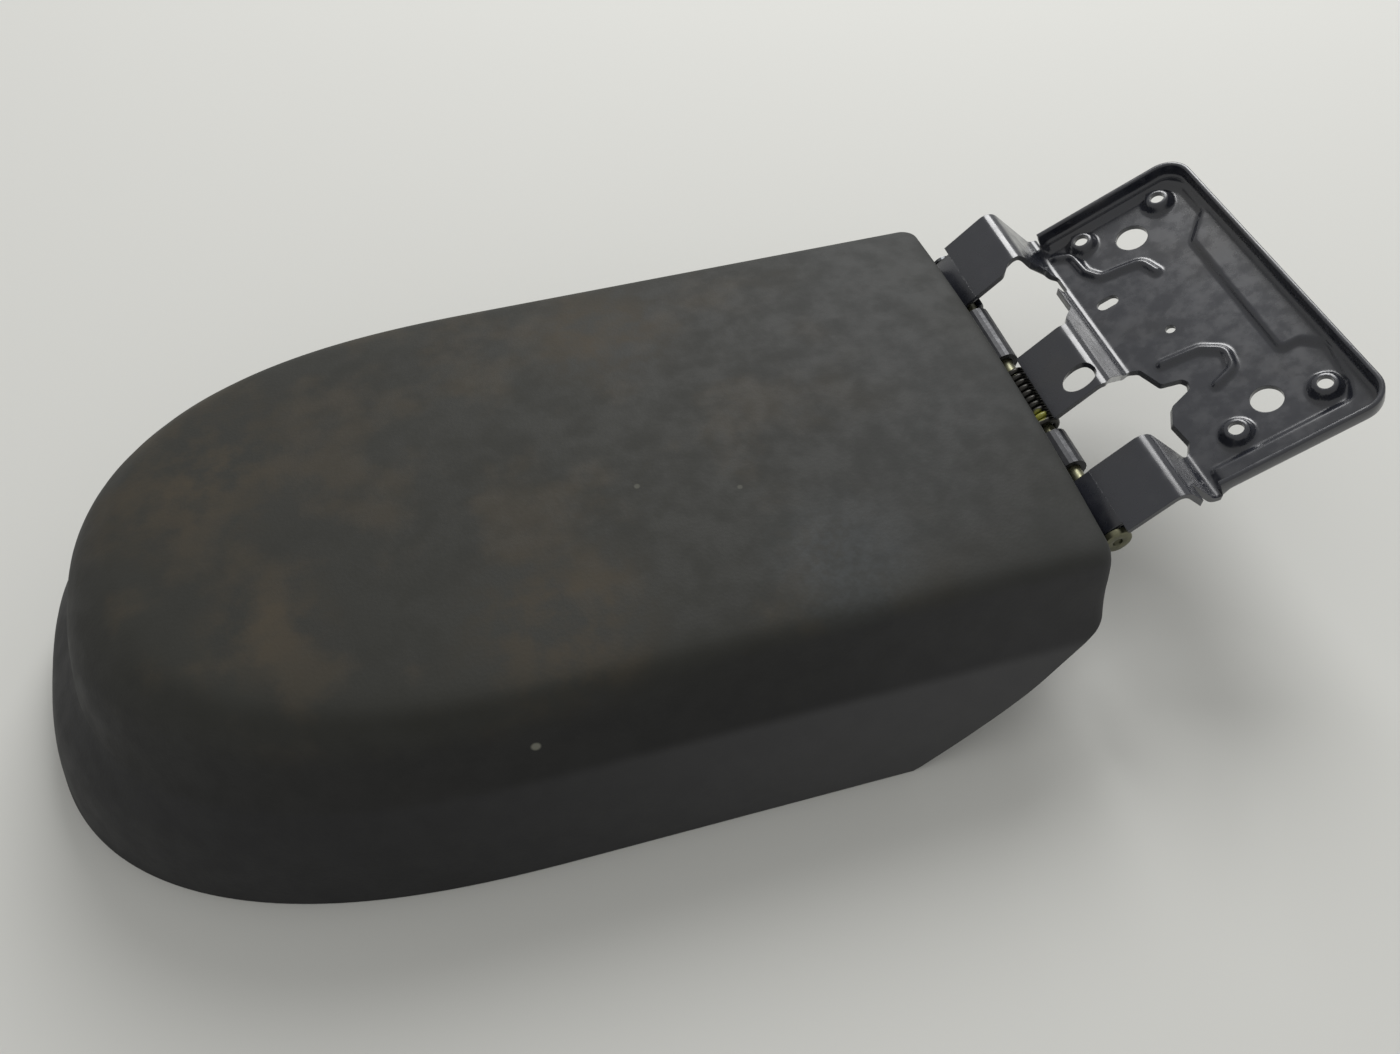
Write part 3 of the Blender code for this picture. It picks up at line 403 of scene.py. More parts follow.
def linear(hex_colour: str) -> tuple[float, float, float, float]:
    """Turn an sRGB hex colour into linear light with full opacity.

    A channel c up to 0.04045 gives c over 12.92, and a brighter one gives c plus 0.055,
    over 1.055, to the power 2.4.

    Args:
        hex_colour: Six hex digits, for red, green and blue.

    Returns:
        Red, green and blue in linear light, and an alpha of 1.
    """
    channels = np.array([int(hex_colour[i:i + 2], 16) for i in (0, 2, 4)]) / 255.0
    light = np.where(channels <= 0.04045, channels / 12.92, ((channels + 0.055) / 1.055) ** 2.4)
    return (*light.tolist(), 1.0)


class Shader:
    """A node material that grows from its Principled shader."""

    def __init__(self, name: str) -> None:
        """Start a material with its Principled shader and object coordinates.

        Args:
            name: Name of the material.
        """
        self.material = bpy.data.materials.new(name)
        self.material.use_nodes = True
        self.tree = self.material.node_tree
        self.principled = self.tree.nodes["Principled BSDF"]
        self.place = self.add("ShaderNodeTexCoord").outputs["Object"]

    def add(self, kind: str, links: dict | None = None, **settings: object) -> Node:
        """Add a node with its settings, its socket values and its links.

        Args:
            kind: Blender's name of the node.
            links: Socket name or number to a socket or a value.
            settings: Properties of the node.

        Returns:
            The new node.
        """
        node = self.tree.nodes.new(kind)
        for key, value in settings.items():
            setattr(node, key, value)
        for key, value in (links or {}).items():
            self.feed(node.inputs[key], value)
        return node

    def feed(self, socket: NodeSocket, value: object) -> None:
        """Link a socket to another, or set it to a value or a hex colour.

        Args:
            socket: The input socket.
            value: An output socket, a value or a hex colour.
        """
        if isinstance(value, NodeSocket):
            self.tree.links.new(value, socket)
        elif isinstance(value, str):
            socket.default_value = linear(value)
        else:
            socket.default_value = value

    def noise(self, size_mm: float, detail: float = 3.0,
              stretch: tuple[float, float, float] = (1.0, 1.0, 1.0)) -> NodeSocket:
        """Give noise whose blotches have a real size in millimetres.

        Args:
            size_mm: Size of the blotches.
            detail: Octaves of finer noise in them.
            stretch: Scale along each axis, where more than 1 gives finer noise.

        Returns:
            The noise's socket, from 0 to 1.
        """
        place = self.add("ShaderNodeMapping", {"Vector": self.place, "Scale": stretch})
        return self.add("ShaderNodeTexNoise",
                        {"Vector": place.outputs[0], "Scale": 1.0 / (size_mm * MM),
                         "Detail": detail, "Roughness": 0.55}).outputs[0]

    def cells(self, size_mm: float) -> NodeSocket:
        """Give the distance inside cells that have a real size in millimetres."""
        return self.add("ShaderNodeTexVoronoi",
                        {"Vector": self.place, "Scale": 1.0 / (size_mm * MM)}).outputs[0]

    def ease(self, value: NodeSocket, low: float, high: float,
             to_low: float = 0.0, to_high: float = 1.0) -> NodeSocket:
        """Map a value from one range to another, eased and held at both ends."""
        return self.add("ShaderNodeMapRange", {0: value, 1: low, 2: high, 3: to_low, 4: to_high},
                        interpolation_type="SMOOTHSTEP").outputs[0]

    def between(self, axis: NodeSocket, places_mm: tuple, to_low: float = 0.0,
                to_high: float = 1.0) -> NodeSocket:
        """Ease along an axis between two places in millimetres."""
        return self.ease(axis, *(place * MM for place in places_mm), to_low, to_high)

    def times(self, a: NodeSocket, b: object) -> NodeSocket:
        """Multiply two values."""
        return self.add("ShaderNodeMath", {0: a, 1: b}, operation="MULTIPLY").outputs[0]

    def mix(self, share: NodeSocket, first: object, second: object) -> NodeSocket:
        """Mix two colours, each a socket or a hex colour."""
        return self.add("ShaderNodeMix", {0: share, 6: first, 7: second},
                        data_type="RGBA").outputs[2]

    def near(self, spot: tuple | list, radius_mm: float, core: float = 0.1) -> NodeSocket:
        """Give 1 within a core share of a radius from a spot, easing to 0 at the radius.

        Args:
            spot: X, Y and Z of the spot, in millimetres.
            radius_mm: The radius.
            core: The share of the radius that stays at 1.

        Returns:
            The mask's socket.
        """
        away = self.add("ShaderNodeVectorMath",
                        {0: self.place, 1: [c * MM for c in spot]}, operation="DISTANCE")
        reach = radius_mm * MM
        return self.ease(away.outputs["Value"], reach * core, reach, 1.0, 0.0)

    def bump(self, height: NodeSocket, depth_mm: float, strength: float,
             under: NodeSocket | None = None) -> NodeSocket:
        """Turn a height into a bump of a real depth in millimetres.

        Args:
            height: Height from 0 to 1.
            depth_mm: Depth of the bump.
            strength: How strongly it tilts the surface.
            under: The normal that it is added to, or none.

        Returns:
            The new normal's socket.
        """
        links = {"Height": height, "Distance": depth_mm * MM, "Strength": strength}
        if under is not None:
            links["Normal"] = under
        return self.add("ShaderNodeBump", links).outputs[0]

    def finished(self, **sockets: object) -> Material:
        """Feed the Principled shader's sockets and give the material.

        Args:
            sockets: What feeds each socket, its name with low lines for spaces.

        Returns:
            The material.
        """
        for key, value in sockets.items():
            self.feed(self.principled.inputs[key.replace("_", " ")], value)
        return self.material


@dataclass(frozen=True)
class SoftSkin:
    """Moulded soft-touch skin: matt, with a fine leather-like grain, dusty and rubbed. Its walls
    and crease band carry painted shade, lighter towards the rear as painted bounce light, and the
    top's rear carries a painted sheen.

    Spots are X, Y, Z and radius in millimetres, and specks add how strong they are. The
    pairs that end in mm are places along X or up Z, between which one colour gives way
    to the next.
    """

    top: str = "2d2d29"
    # The rear colour is a painted sheen: the top grows lighter towards the rear.
    rear: str = "323332"
    cloud: str = "292925"
    # The wall colours are painted shade on the side walls, lighter towards the rear as painted
    # bounce light.
    wall: str = "202020"
    wall_shade_rear: str = "303031"
    # The band colours below the crease are painted light: painted shade at the front and painted
    # bounce light at the rear.
    band_bounce_light: str = "414142"
    band_shade_front: str = "232324"
    dirt: str = "463e31"
    scuff: str = "3e4142"
    speck: str = "74746a"
    rear_sheen_mm: tuple = (-30.0, 110.0)
    dust_until_mm: tuple = (0.0, 90.0)
    wall_shade_rear_mm: tuple = (-20.0, 110.0)
    # Painted shade under the top's edge, strongest towards the rear, between these places along X.
    edge_shade_mm: tuple = (-90.0, 50.0)
    band_bounce_light_mm: tuple = (-120.0, 80.0)
    edge_mm: tuple = (58.5, 63.5)
    shoulder_shade_mm: tuple = (47.0, 66.0)
    crease_mm: tuple = (33.5, 37.5)
    grain_mm: float = 1.1
    pore_mm: float = 0.5
    dirt_spots: tuple = ((-10.0, 50.0, 68.0, 34.0), (-138.0, 24.0, 63.0, 44.0),
                         (-44.0, -58.0, 67.0, 36.0), (-120.0, -37.0, 62.0, 26.0))
    scuff_spot: tuple = (36.0, -58.0, 66.0, 30.0)
    specks: tuple = ((-57.5, -81.1, 46.0, 1.7, 0.85), (-130.6, 26.5, 65.0, 1.3, 0.5),
                     (-13.8, -19.0, 68.4, 1.1, 0.35), (14.8, -27.3, 68.2, 1.0, 0.3))

    def material(self) -> Material:
        """Build the skin from height masks, blotches, worn spots and grain, with painted shade,
        painted bounce light and a painted sheen laid on by the masks.

        Returns:
            The material.
        """
        s = Shader("soft_touch_skin")
        axes = s.add("ShaderNodeSeparateXYZ", {0: s.place})
        along, up = axes.outputs[0], axes.outputs[2]
        blotch, fine = s.noise(55.0, 4.0), s.noise(9.0, 5.0)
        # Painted sheen: the top's colour lightens towards the rear.
        paint = s.mix(s.between(along, self.rear_sheen_mm), self.top, self.rear)
        paint = s.mix(s.ease(blotch, 0.38, 0.68, 0.0, 0.6), paint, self.cloud)
        dusty = s.times(s.ease(s.noise(26.0, 5.0), 0.47, 0.68),
                        s.between(along, self.dust_until_mm, 0.4, 0.0))
        paint = s.mix(dusty, paint, self.dirt)
        streaks = s.times(s.ease(fine, 0.34, 0.66), 0.6)
        for *spot, radius in self.dirt_spots:
            paint = s.mix(s.times(s.near(spot, radius), streaks), paint, self.dirt)
        *spot, radius = self.scuff_spot
        rubbed = s.times(s.near(spot, radius), s.ease(s.noise(2.4, 4.0), 0.35, 0.7, 0.4, 0.8))
        paint = s.mix(rubbed, paint, self.scuff)
        # Painted shade for the side walls, lighter towards the rear as painted bounce light.
        wall = s.mix(s.between(along, self.wall_shade_rear_mm), self.wall, self.wall_shade_rear)
        # Painted shade right under the top's edge, strongest at the rear, so that the edge reads
        # crisp.
        edge_shade = s.times(s.between(up, self.edge_mm, 1.0, 0.0), s.between(along, self.edge_shade_mm))
        paint = s.mix(edge_shade, paint, wall)
        # Painted shade: the wall colour fades up the shoulder towards the top.
        paint = s.mix(s.between(up, self.shoulder_shade_mm, 0.95, 0.0), paint, wall)
        # Painted shade below the crease, easing to painted bounce light at the rear.
        band_shade_and_bounce = s.mix(s.between(along, self.band_bounce_light_mm), self.band_shade_front, self.band_bounce_light)
        paint = s.mix(s.between(up, self.crease_mm, 1.0, 0.0), paint, band_shade_and_bounce)
        for *spot, radius, share in self.specks:
            paint = s.mix(s.times(s.near(spot, radius, 0.5), share), paint, self.speck)
        # Such a skin's grain is finer. It is drawn about a millimetre wide so that it shows.
        grain = s.bump(s.cells(self.grain_mm), 0.08, 0.35)
        grain = s.bump(s.noise(self.pore_mm, 2.0), 0.05, 0.25, grain)
        return s.finished(Base_Color=paint, Normal=grain, IOR=1.45, Specular_IOR_Level=0.35,
                          Roughness=s.ease(fine, 0.3, 0.7, 0.62, 0.72))


@dataclass(frozen=True)
class BlackCoat:
    """Black dip coat on pressed steel: glossy, thin, faintly peeled and dusty."""

    # The coat's own near-black colour with a blue tint, the tint being a painted reflection of
    # pale bluish surroundings.
    colour: str = "20222a"
    brown: str = "292726"
    dust: str = "38373a"
    edge_mm: float = 0.35

    def material(self) -> Material:
        """Build the coat with eased edges, a light peel and browned dusty patches.

        Returns:
            The material.
        """
        s = Shader("black_dip_coat")
        fine = s.noise(6.0, 4.0)
        paint = s.mix(s.ease(s.noise(30.0, 3.0), 0.48, 0.75, 0.0, 0.45), self.colour, self.brown)
        paint = s.mix(s.ease(fine, 0.55, 0.8, 0.0, 0.2), paint, self.dust)
        eased = s.add("ShaderNodeBevel", {"Radius": self.edge_mm * MM}, samples=4).outputs[0]
        peel = s.bump(s.noise(2.2, 2.0), 0.03, 0.1, eased)
        return s.finished(Base_Color=paint, Normal=peel, IOR=1.55, Coat_Weight=0.4,
                          Coat_Roughness=0.2, Roughness=s.ease(fine, 0.35, 0.7, 0.2, 0.34))


class Texture(Enum):
    """How a plain finish's surface was made."""

    MOULDED = "moulded"
    DRAWN = "drawn"
    PLATED = "plated"
    FOAMED = "foamed"


@dataclass(frozen=True)
class PlainFinish:
    """A finish of two close colours with the texture that its making gives it.

    The real grain and lines are finer. They are drawn about a millimetre wide so that
    they show in a render of the whole part.
    """

    name: str
    colour: str
    second: str
    texture: Texture
    roughness: float
    metallic: float = 0.0
    feature_mm: float = 1.2
    depth_mm: float = 0.05

    def material(self) -> Material:
        """Build the finish: grain, wire lines, plating bloom or open cells.

        Returns:
            The material.
        """
        s = Shader(self.name)
        stretch = (1.0, 12.0, 1.0) if self.texture is Texture.DRAWN else (1.0, 1.0, 1.0)
        if self.texture is Texture.FOAMED:
            grain = s.cells(self.feature_mm)
        else:
            grain = s.noise(self.feature_mm, 3.0, stretch)
        bloom = s.ease(s.noise(self.feature_mm * 7.0), 0.35, 0.7)
        rough = s.ease(grain, 0.3, 0.7, self.roughness - 0.05, self.roughness + 0.07)
        return s.finished(Base_Color=s.mix(bloom, self.colour, self.second), Roughness=rough,
                          Metallic=self.metallic, Normal=s.bump(grain, self.depth_mm, 0.4))


@dataclass(frozen=True)
class SpringWire:
    """Oiled black spring wire with a dab of yellow-green paint, its lines drawn coarse."""

    colour: str = "2c2c2b"
    second: str = "3d3b36"
    paint: str = "8a8a2e"
    dab: tuple = (117.0, -16.0, 57.0)
    dab_mm: float = 2.7

    def material(self) -> Material:
        """Build the wire, with the dab masked by its place.

        Returns:
            The material.
        """
        s = Shader("oiled_spring_wire")
        lines = s.noise(0.8, 3.0, (1.0, 9.0, 1.0))
        wire = s.mix(s.ease(lines, 0.35, 0.7), self.colour, self.second)
        dab = s.times(s.near(self.dab, self.dab_mm, 0.6), s.ease(s.noise(1.6), 0.3, 0.45))
        return s.finished(Base_Color=s.mix(dab, wire, self.paint),
                          Metallic=s.ease(dab, 0.0, 1.0, 0.8, 0.0),
                          Roughness=s.ease(lines, 0.3, 0.7, 0.3, 0.42),
                          Normal=s.bump(lines, 0.02, 0.3))


# Moulded ABS: dark, even and half matt.
CARRIER = PlainFinish("black_moulded_carrier", "232327", "2a2a2e", Texture.MOULDED, 0.5)
# Moulded ABS with a coarser grain from its mould, so it shines less.
LINER = PlainFinish("black_moulded_liner", "28282b", "303033", Texture.MOULDED, 0.58,
                    feature_mm=1.6, depth_mm=0.08)
# Cut polyurethane foam: open cells and no gloss.
FOAM = PlainFinish("open_cell_foam", "6f6b5f", "5f5b50", Texture.FOAMED, 0.9,
                   feature_mm=1.5, depth_mm=0.4)
# Sheet steel under a thin dark coat, with a satin sheen.
FRAME_STEEL = PlainFinish("dark_coated_sheet", "2d2e32", "393a3d", Texture.PLATED, 0.38,
                          metallic=0.3)
# Zinc plate with a green-yellow passivation: dull, in faint clouds.
ZINC = PlainFinish("passivated_zinc", "77765f", "5c5c4c", Texture.PLATED, 0.36, metallic=0.85,
                   feature_mm=0.9)
# Bare stamped spring steel, with fine rolling lines.
CLIP_STEEL = PlainFinish("stamped_clip_steel", "5c5e60", "4a4b4d", Texture.DRAWN, 0.34,
                         metallic=1.0)
# Bright zinc plate on small screws.
SCREW_STEEL = PlainFinish("zinc_plated_screws", "9a9c9e", "85878a", Texture.PLATED, 0.32,
                          metallic=1.0, feature_mm=0.8)
# Moulded rubber: nearly black and dull.
RUBBER = PlainFinish("moulded_rubber", "19191b", "212122", Texture.MOULDED, 0.78)
# Moulded ABS from a smoother mould, with a satin gloss.
LATCH_PLASTIC = PlainFinish("satin_moulded_latch", "1f1f22", "27272a", Texture.MOULDED, 0.42)
# Drawn wire: bright, with lines along it.
LATCH_STEEL = PlainFinish("drawn_latch_wire", "8f9092", "7b7c7e", Texture.DRAWN, 0.3, metallic=1.0)


def place_piece(piece: Object, finish: Material, body: str,
                material_slot: str, *nodes: str) -> None:
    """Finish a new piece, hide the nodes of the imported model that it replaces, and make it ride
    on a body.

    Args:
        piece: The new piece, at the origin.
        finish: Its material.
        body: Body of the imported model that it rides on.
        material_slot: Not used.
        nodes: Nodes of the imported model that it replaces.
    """
    piece.data.materials.clear()
    piece.data.materials.append(finish)
    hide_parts(*nodes)
    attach(piece, body)
    log.info("%s: %d faces", piece.name, len(piece.data.polygons))


# The lid


@dataclass(frozen=True)
class CoverSkin:
    """The lid's skin as one smooth surface: flared skirt, crease, crowned top, nose.

    Rows of the profile are (side inset, side share of the rise, nose inset, nose
    share, rear inset, how far the crown is followed), from the crease to the top.
    """

    half_width: float = 95.6
    flare: float = 9.7
    nose_flare: float = 19.0
    crease: float = 35.6
    top: float = 68.6
    crown: float = 4.2
    crown_width: float = 77.25
    length: float = 314.6
    chamfer_run: float = 59.5
    chamfer_rise: float = 40.0
    corner: float = 5.0
    nose_start: float = 154.5
    rim_power: float = 2.57
    top_power: float = 2.35
    aspect: float = 0.9
    skew: float = 0.055
    wall: float = 2.2
    edge: float = 0.4
    skirt: tuple = ((0.0, 0.0), (0.16, 0.30), (0.44, 0.64), (0.82, 0.89), (1.0, 1.0))
    profile: tuple = (
        (0.0, 0.0, 0.0, 0.0, 0.0, 0.0), (2.75, 0.14, 1.4, 0.14, 0.0, 0.0),
        (5.45, 0.39, 4.2, 0.38, 0.0, 0.0), (7.15, 0.646, 9.6, 0.62, 0.0, 0.5),
        (8.65, 0.779, 16.2, 0.765, 0.4, 1.0), (12.2, 0.868, 22.6, 0.86, 2.0, 1.0),
        (18.8, 0.907, 31.6, 0.905, 7.0, 1.0), (36.8, 0.952, 47.6, 0.952, 24.0, 1.0),
        (60.8, 0.986, 68.6, 0.986, 48.0, 1.0), (78.0, 0.999, 90.6, 0.999, 70.0, 1.0),
        (85.5, 1.0, 98.6, 1.0, 77.0, 1.0))
    openings: tuple = (((-37.5, -22.5), (47.5, 50.3)), ((11.5, 36.5), (47.5, 50.3)),
                       ((-20.0, -17.0), (50.3, 57.2)))
    columns: tuple = (26, 9, 62, 64)
    skirt_rows: int = 15
    upper_rows: int = 54
    upper_power: float = 1.25
    search_rows: int = 1600
    opening_corner: float = 0.6
    cut_past: tuple = (3.0, 2.0)
    corner_share: float = 0.8
    least_half: float = 0.2
    upper_edge: float = 0.4
    weld: float = 0.004
    sharp: float = 40.0

    def rear_end(self) -> float:
        """Give the X of the lid's rear."""
        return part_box("cover_skin")[1][0] / MM

    def knots(self) -> ndarray:
        """Place the profile's rows by the length of the way up and in.

        Returns:
            A place for each row, from 0 at the crease to 1 by the top's middle.
        """
        rows = np.array(self.profile)
        heights = rows[:, 1] * (self.top - self.crease)
        way = np.cumsum(np.hypot(np.diff(rows[:, 0]), np.diff(heights)))
        return np.concatenate([[0.0], way]) / way[-1]

    def plan(self, half_width: ndarray, front: ndarray, rear: ndarray,
             power: ndarray) -> tuple[ndarray, ndarray, ndarray]:
        """Give plan outlines, one a row, from the middle of the rear round to it.

        The rear is straight with round corners, the sides are straight, and the nose
        is a superellipse, x = start less length times sin to the power 2/p of t and
        y = half width times cos to the power 2/p of t. The nose then leans forward by
        the skew times y on its left side.

        Args:
            half_width: Half widths, by row and column.
            front: X of the nose's tip.
            rear: X of the rear.
            power: The superellipse's p.

        Returns:
            X, Y and the X where the nose starts.
        """
        n_rear, n_corner, n_side, n_nose = self.columns
        nose_tip = self.rear_end() - self.length
        length = np.maximum(nose_tip + self.nose_start - front, self.aspect * half_width)
        start = front + length
        corner = np.minimum(self.corner, self.corner_share * half_width)
        zone = np.repeat([0, 1, 2, 3], [n_rear, n_corner, n_side, n_nose + 1])
        t = np.concatenate([np.arange(n_rear) / n_rear, np.arange(n_corner) / n_corner,
                            np.arange(n_side) / n_side, np.arange(n_nose + 1) / n_nose])
        sign = np.concatenate([np.ones_like(t), -np.ones(len(t) - 2)])
        zone = np.concatenate([zone, zone[-2:0:-1]])
        t = np.concatenate([t, t[-2:0:-1]])
        turn_sin, turn_cos = np.sin(t * math.pi / 2), np.clip(np.cos(t * math.pi / 2), 0, 1)
        in_x, in_y = rear - corner, half_width - corner
        x = np.choose(zone, [rear + 0 * t, in_x + corner * turn_cos, in_x + (start - in_x) * t,
                             start - length * turn_sin ** (2.0 / power)])
        y = sign * np.choose(zone, [in_y * t, in_y + corner * turn_sin, half_width + 0 * t,
                                    half_width * turn_cos ** (2.0 / power)])
        return x - self.skew * y * np.clip(start - x, 0.0, None) / length, y, start

    def surface(self, way: ndarray, inset: float, drop: float) -> ndarray:
        """Give points of the skin, or of a layer inset and dropped from it.

        Height is the crease's height times the skirt's share below the crease. Above
        it the height is the crease plus the profile's share of the rise, blended to
        the nose's share by the square of the nearness to the nose, plus the crown,
        which falls by the crown times the square of y over the crown's width.

        Args:
            way: Place up the skin by row and column, 0 to 1 skirt and 1 to 2 above it.
            inset: How far in from the outside.
            drop: How far the top is below the outside.

        Returns:
            Points shaped (rows, columns, 3).
        """
        skirt = np.array(self.skirt)
        steps = np.hypot(np.diff(skirt[:, 0]) * self.flare, np.diff(skirt[:, 1]) * self.crease)
        skirt_knots = np.concatenate([[0.0], np.cumsum(steps)]) / steps.sum()
        low = monotone_curve(skirt_knots, skirt, np.clip(way, 0.0, 1.0))
        high = monotone_curve(self.knots(), np.array(self.profile), np.clip(way - 1, 0.0, 1.0))
        side, side_up, nose, nose_up, rear_in, follow = np.moveaxis(high, -1, 0)
        half_width = self.half_width - self.flare * low[..., 0] - side - inset
        half_width = np.maximum(half_width, self.least_half)
        front = self.rear_end() - self.length + self.nose_flare * low[..., 0] + nose + inset
        power = self.rim_power + (self.top_power - self.rim_power) * side_up
        x, y, start = self.plan(half_width, front, self.rear_end() - rear_in - inset, power)
        nearness = np.clip((start - x) / (start - front), 0.0, 1.0) ** 2
        share = side_up + (nose_up - side_up) * nearness
        fall = self.crown * (half_width ** 2 - y ** 2) / self.crown_width ** 2
        z = (self.crease * low[..., 1] + share * (self.top - self.crease)
             + follow * (1.0 - nearness) * fall)
        return points_of(x, y, z * (1.0 - drop / self.top))

    def chamfer_way(self, inset: float, drop: float) -> ndarray:
        """Find for each column where the skin leaves the chamfer's plane.

        It is read off a straight line between the two searched rows on either side of the
        plane, and is 0 where the column starts above it.

        Args:
            inset: How far in from the outside.
            drop: How far the top is below the outside.

        Returns:
            A place up the skin for each column, as surface reads it.
        """
        count = 2 * sum(self.columns)
        ways = np.linspace(0.0, 2.0, self.search_rows)[:, None] + np.zeros((1, count))
        points = self.surface(ways, inset, drop)
        slope = self.chamfer_rise / self.chamfer_run
        above = points[..., 2] - slope * (points[..., 0] - self.rear_end() + self.chamfer_run)
        first = np.argmax(above > 0.0, axis=0)
        before = np.maximum(first - 1, 0)
        column = np.arange(count)
        a, b = above[before, column], above[first, column]
        share = np.where(first > 0, -a / np.where(b == a, 1.0, b - a), 0.0)
        return ways[before, 0] + share * (ways[1, 0] - ways[0, 0])

    def build(self) -> None:
        """Build and dress the skin, which rides on the lid."""
        place_piece(self.build_skin(), SoftSkin().material(), "lid", "soft_touch_skin",
                    "cover_skin")

    def build_skin(self) -> Object:
        """Build the skin, close it with its inner wall, and open its rear slots.

        Returns:
            The skin.
        """
        ways = np.concatenate([np.linspace(0.0, 1.0, self.skirt_rows)[1:-1],
                               1.0 + np.linspace(0.0, 1.0, self.upper_rows) ** self.upper_power
                               ])[:, None]
        outer_low = self.chamfer_way(0.0, 0.0)
        inner_low = self.chamfer_way(self.wall, self.wall)
        rise = np.where(outer_low < 1.0, 1.0, self.upper_edge) * self.edge / self.crease
        outer = self.surface(np.maximum(ways, outer_low + rise), 0.0, 0.0)
        first = self.surface((outer_low + rise)[None], 0.0, 0.0)
        lip_out = self.surface(outer_low[None], self.edge, 0.0)
        lip_in = self.surface(outer_low[None], self.wall - self.edge, 0.0)
        inner = self.surface(np.maximum(ways[::-2], inner_low), self.wall, self.wall)
        last = self.surface(inner_low[None], self.wall, self.wall)
        points = np.concatenate([inner, last, lip_in, lip_out, first, outer])
        rows, count = points.shape[:2]
        faces = grid_faces(rows, count, closed=True).tolist()
        half = np.arange(1, count // 2 - 1)
        strip = np.stack([half, half + 1, count - half - 1, count - half], axis=1)
        ends = [[0, 1, count - 1], [count // 2 - 1, count // 2, count // 2 + 1]]
        for start in (0, (rows - 1) * count):
            faces += (strip + start).tolist() + [[start + k for k in end] for end in ends]
        skin = new_mesh("moulded_skin", points.reshape(-1, 3), faces, weld=self.weld)
        cutters = []
        inward, outward = self.cut_past
        for (y0, y1), (z0, z1) in self.openings:
            outline = rounded(((y0, z0), (y1, z0), (y1, z1), (y0, z1)),
                              self.opening_corner, closed=True)
            reach = (self.rear_end() - self.wall - inward, self.rear_end() + outward)
            cutters.append(swept("slot", [points_of(x, *outline.T) for x in reach]))
        return shaded(combined(skin, cutters, "DIFFERENCE"), self.sharp)


# The hinge


def hinge_axis() -> ndarray:
    """Give X and Z of the hinge pin's axis.

    Returns:
        X and Z, in millimetres.
    """
    low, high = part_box("hinge_pin")
    middle = (low + high) / 2.0 / MM
    return np.array([middle[0], middle[2]])


def unit(angle_deg: float) -> tuple[ndarray, ndarray]:
    """Give a direction in X and Z at an angle above X, and the normal above it."""
    a = math.radians(angle_deg)
    return np.array([math.cos(a), math.sin(a)]), np.array([-math.sin(a), math.cos(a)])


@dataclass(frozen=True)
class Hinge:
    """The pin and its spring, with the sizes that the bracket shares."""

    arm_angle: float = 42.0
    arm_length: float = 24.5
    curl_outer: float = 4.6
    curl_inner: float = 2.8
    sheet: float = 1.8
    pin_radius: float = 2.5
    head_radius: float = 4.6
    head_thickness: float = 2.0
    sunk_centre: tuple = ((0.0, 0.9), (1.1, 0.9), (1.3, 0.8), (1.6, 0.1), (1.8, 0.0))
    face_edge: tuple = ((-0.6, 0.0), (-0.2, 0.15), (0.0, 0.5))
    tail_edge: tuple = ((0.0, -0.6), (-0.15, -0.25), (-0.6, 0.0))
    ease: float = 0.15
    eye_span: float = 63.7
    running_gap: float = 0.3
    spring_span: tuple = (-19.5, 6.5)
    wire_radius: float = 1.0
    coil_radius: float = 4.0
    turns: int = 10
    leg: float = 17.0
    foot_x: float = 85.19
    knee_x: float = 104.7
    knee: tuple = ((-1.0, 0.0), (0.0, 0.15), (0.8, 0.5))
    coil_start: float = 102.0
    coil_facets: int = 32

    def arm_spot(self, along: float, lift: float = 0.0) -> ndarray:
        """Give X and Z of a place on the arms' upper face, or lifted off it."""
        way, normal = unit(self.arm_angle)
        return hinge_axis() + along * way + (self.curl_outer + lift) * normal

    def build(self) -> None:
        """Build and dress the pin and the spring, which ride on the lid."""
        place_piece(self.build_pin(), ZINC.material(), "lid", "zinc_plate", "hinge_pin")
        place_piece(self.build_spring(), SpringWire().material(), "lid", "spring_steel",
                    "torsion_spring")

    def build_pin(self) -> Object:
        """Turn the headed pin, with a small sunk centre in its head.

        Returns:
            The pin.
        """
        head, r = self.head_radius, self.pin_radius
        near = -self.eye_span - self.running_gap
        face = near - self.head_thickness
        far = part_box("hinge_pin")[1][1] / MM
        profile = moved(self.sunk_centre, 0.0, face) + moved(self.face_edge, head, face)
        profile += [(head, near - self.ease), (head - self.ease, near), (r, near)]
        profile += moved(self.tail_edge, r, far) + [(0.0, far)]
        return turned("turned_pin", tuple(profile), *hinge_axis())

    def build_spring(self) -> Object:
        """Wind the coil round the pin, with a leg on the frame and one on the arm.

        The coil's angle falls evenly from its start to the line that touches it and
        runs to the tip, while Y rises evenly by the coil's width.

        Returns:
            The spring.
        """
        axis = hinge_axis()
        low = self.spring_span[0] + self.wire_radius
        high = self.spring_span[1] - self.wire_radius
        rest = axis[1] - self.curl_inner + self.running_gap + self.wire_radius
        way, normal = unit(self.arm_angle)
        tip = (self.leg * way + (self.curl_inner - self.wire_radius - self.running_gap) * normal)
        leave = math.atan2(tip[1], tip[0]) - math.acos(self.coil_radius / math.hypot(*tip))
        start = math.radians(self.coil_start)
        total = start - leave + math.tau * (self.turns - 1)
        share = np.linspace(0.0, 1.0, self.coil_facets * self.turns)
        angle = start - total * share
        coil = points_of(axis[0] + self.coil_radius * np.cos(angle), low + (high - low) * share,
                         axis[1] + self.coil_radius * np.sin(angle))
        foot = [(self.foot_x, low, rest)]
        foot += [(x, low, z) for x, z in moved(self.knee, self.knee_x, rest)]
        path = np.concatenate([foot, coil, [(axis[0] + tip[0], high, axis[1] + tip[1])]])
        return tube("wound_spring", path, self.wire_radius)


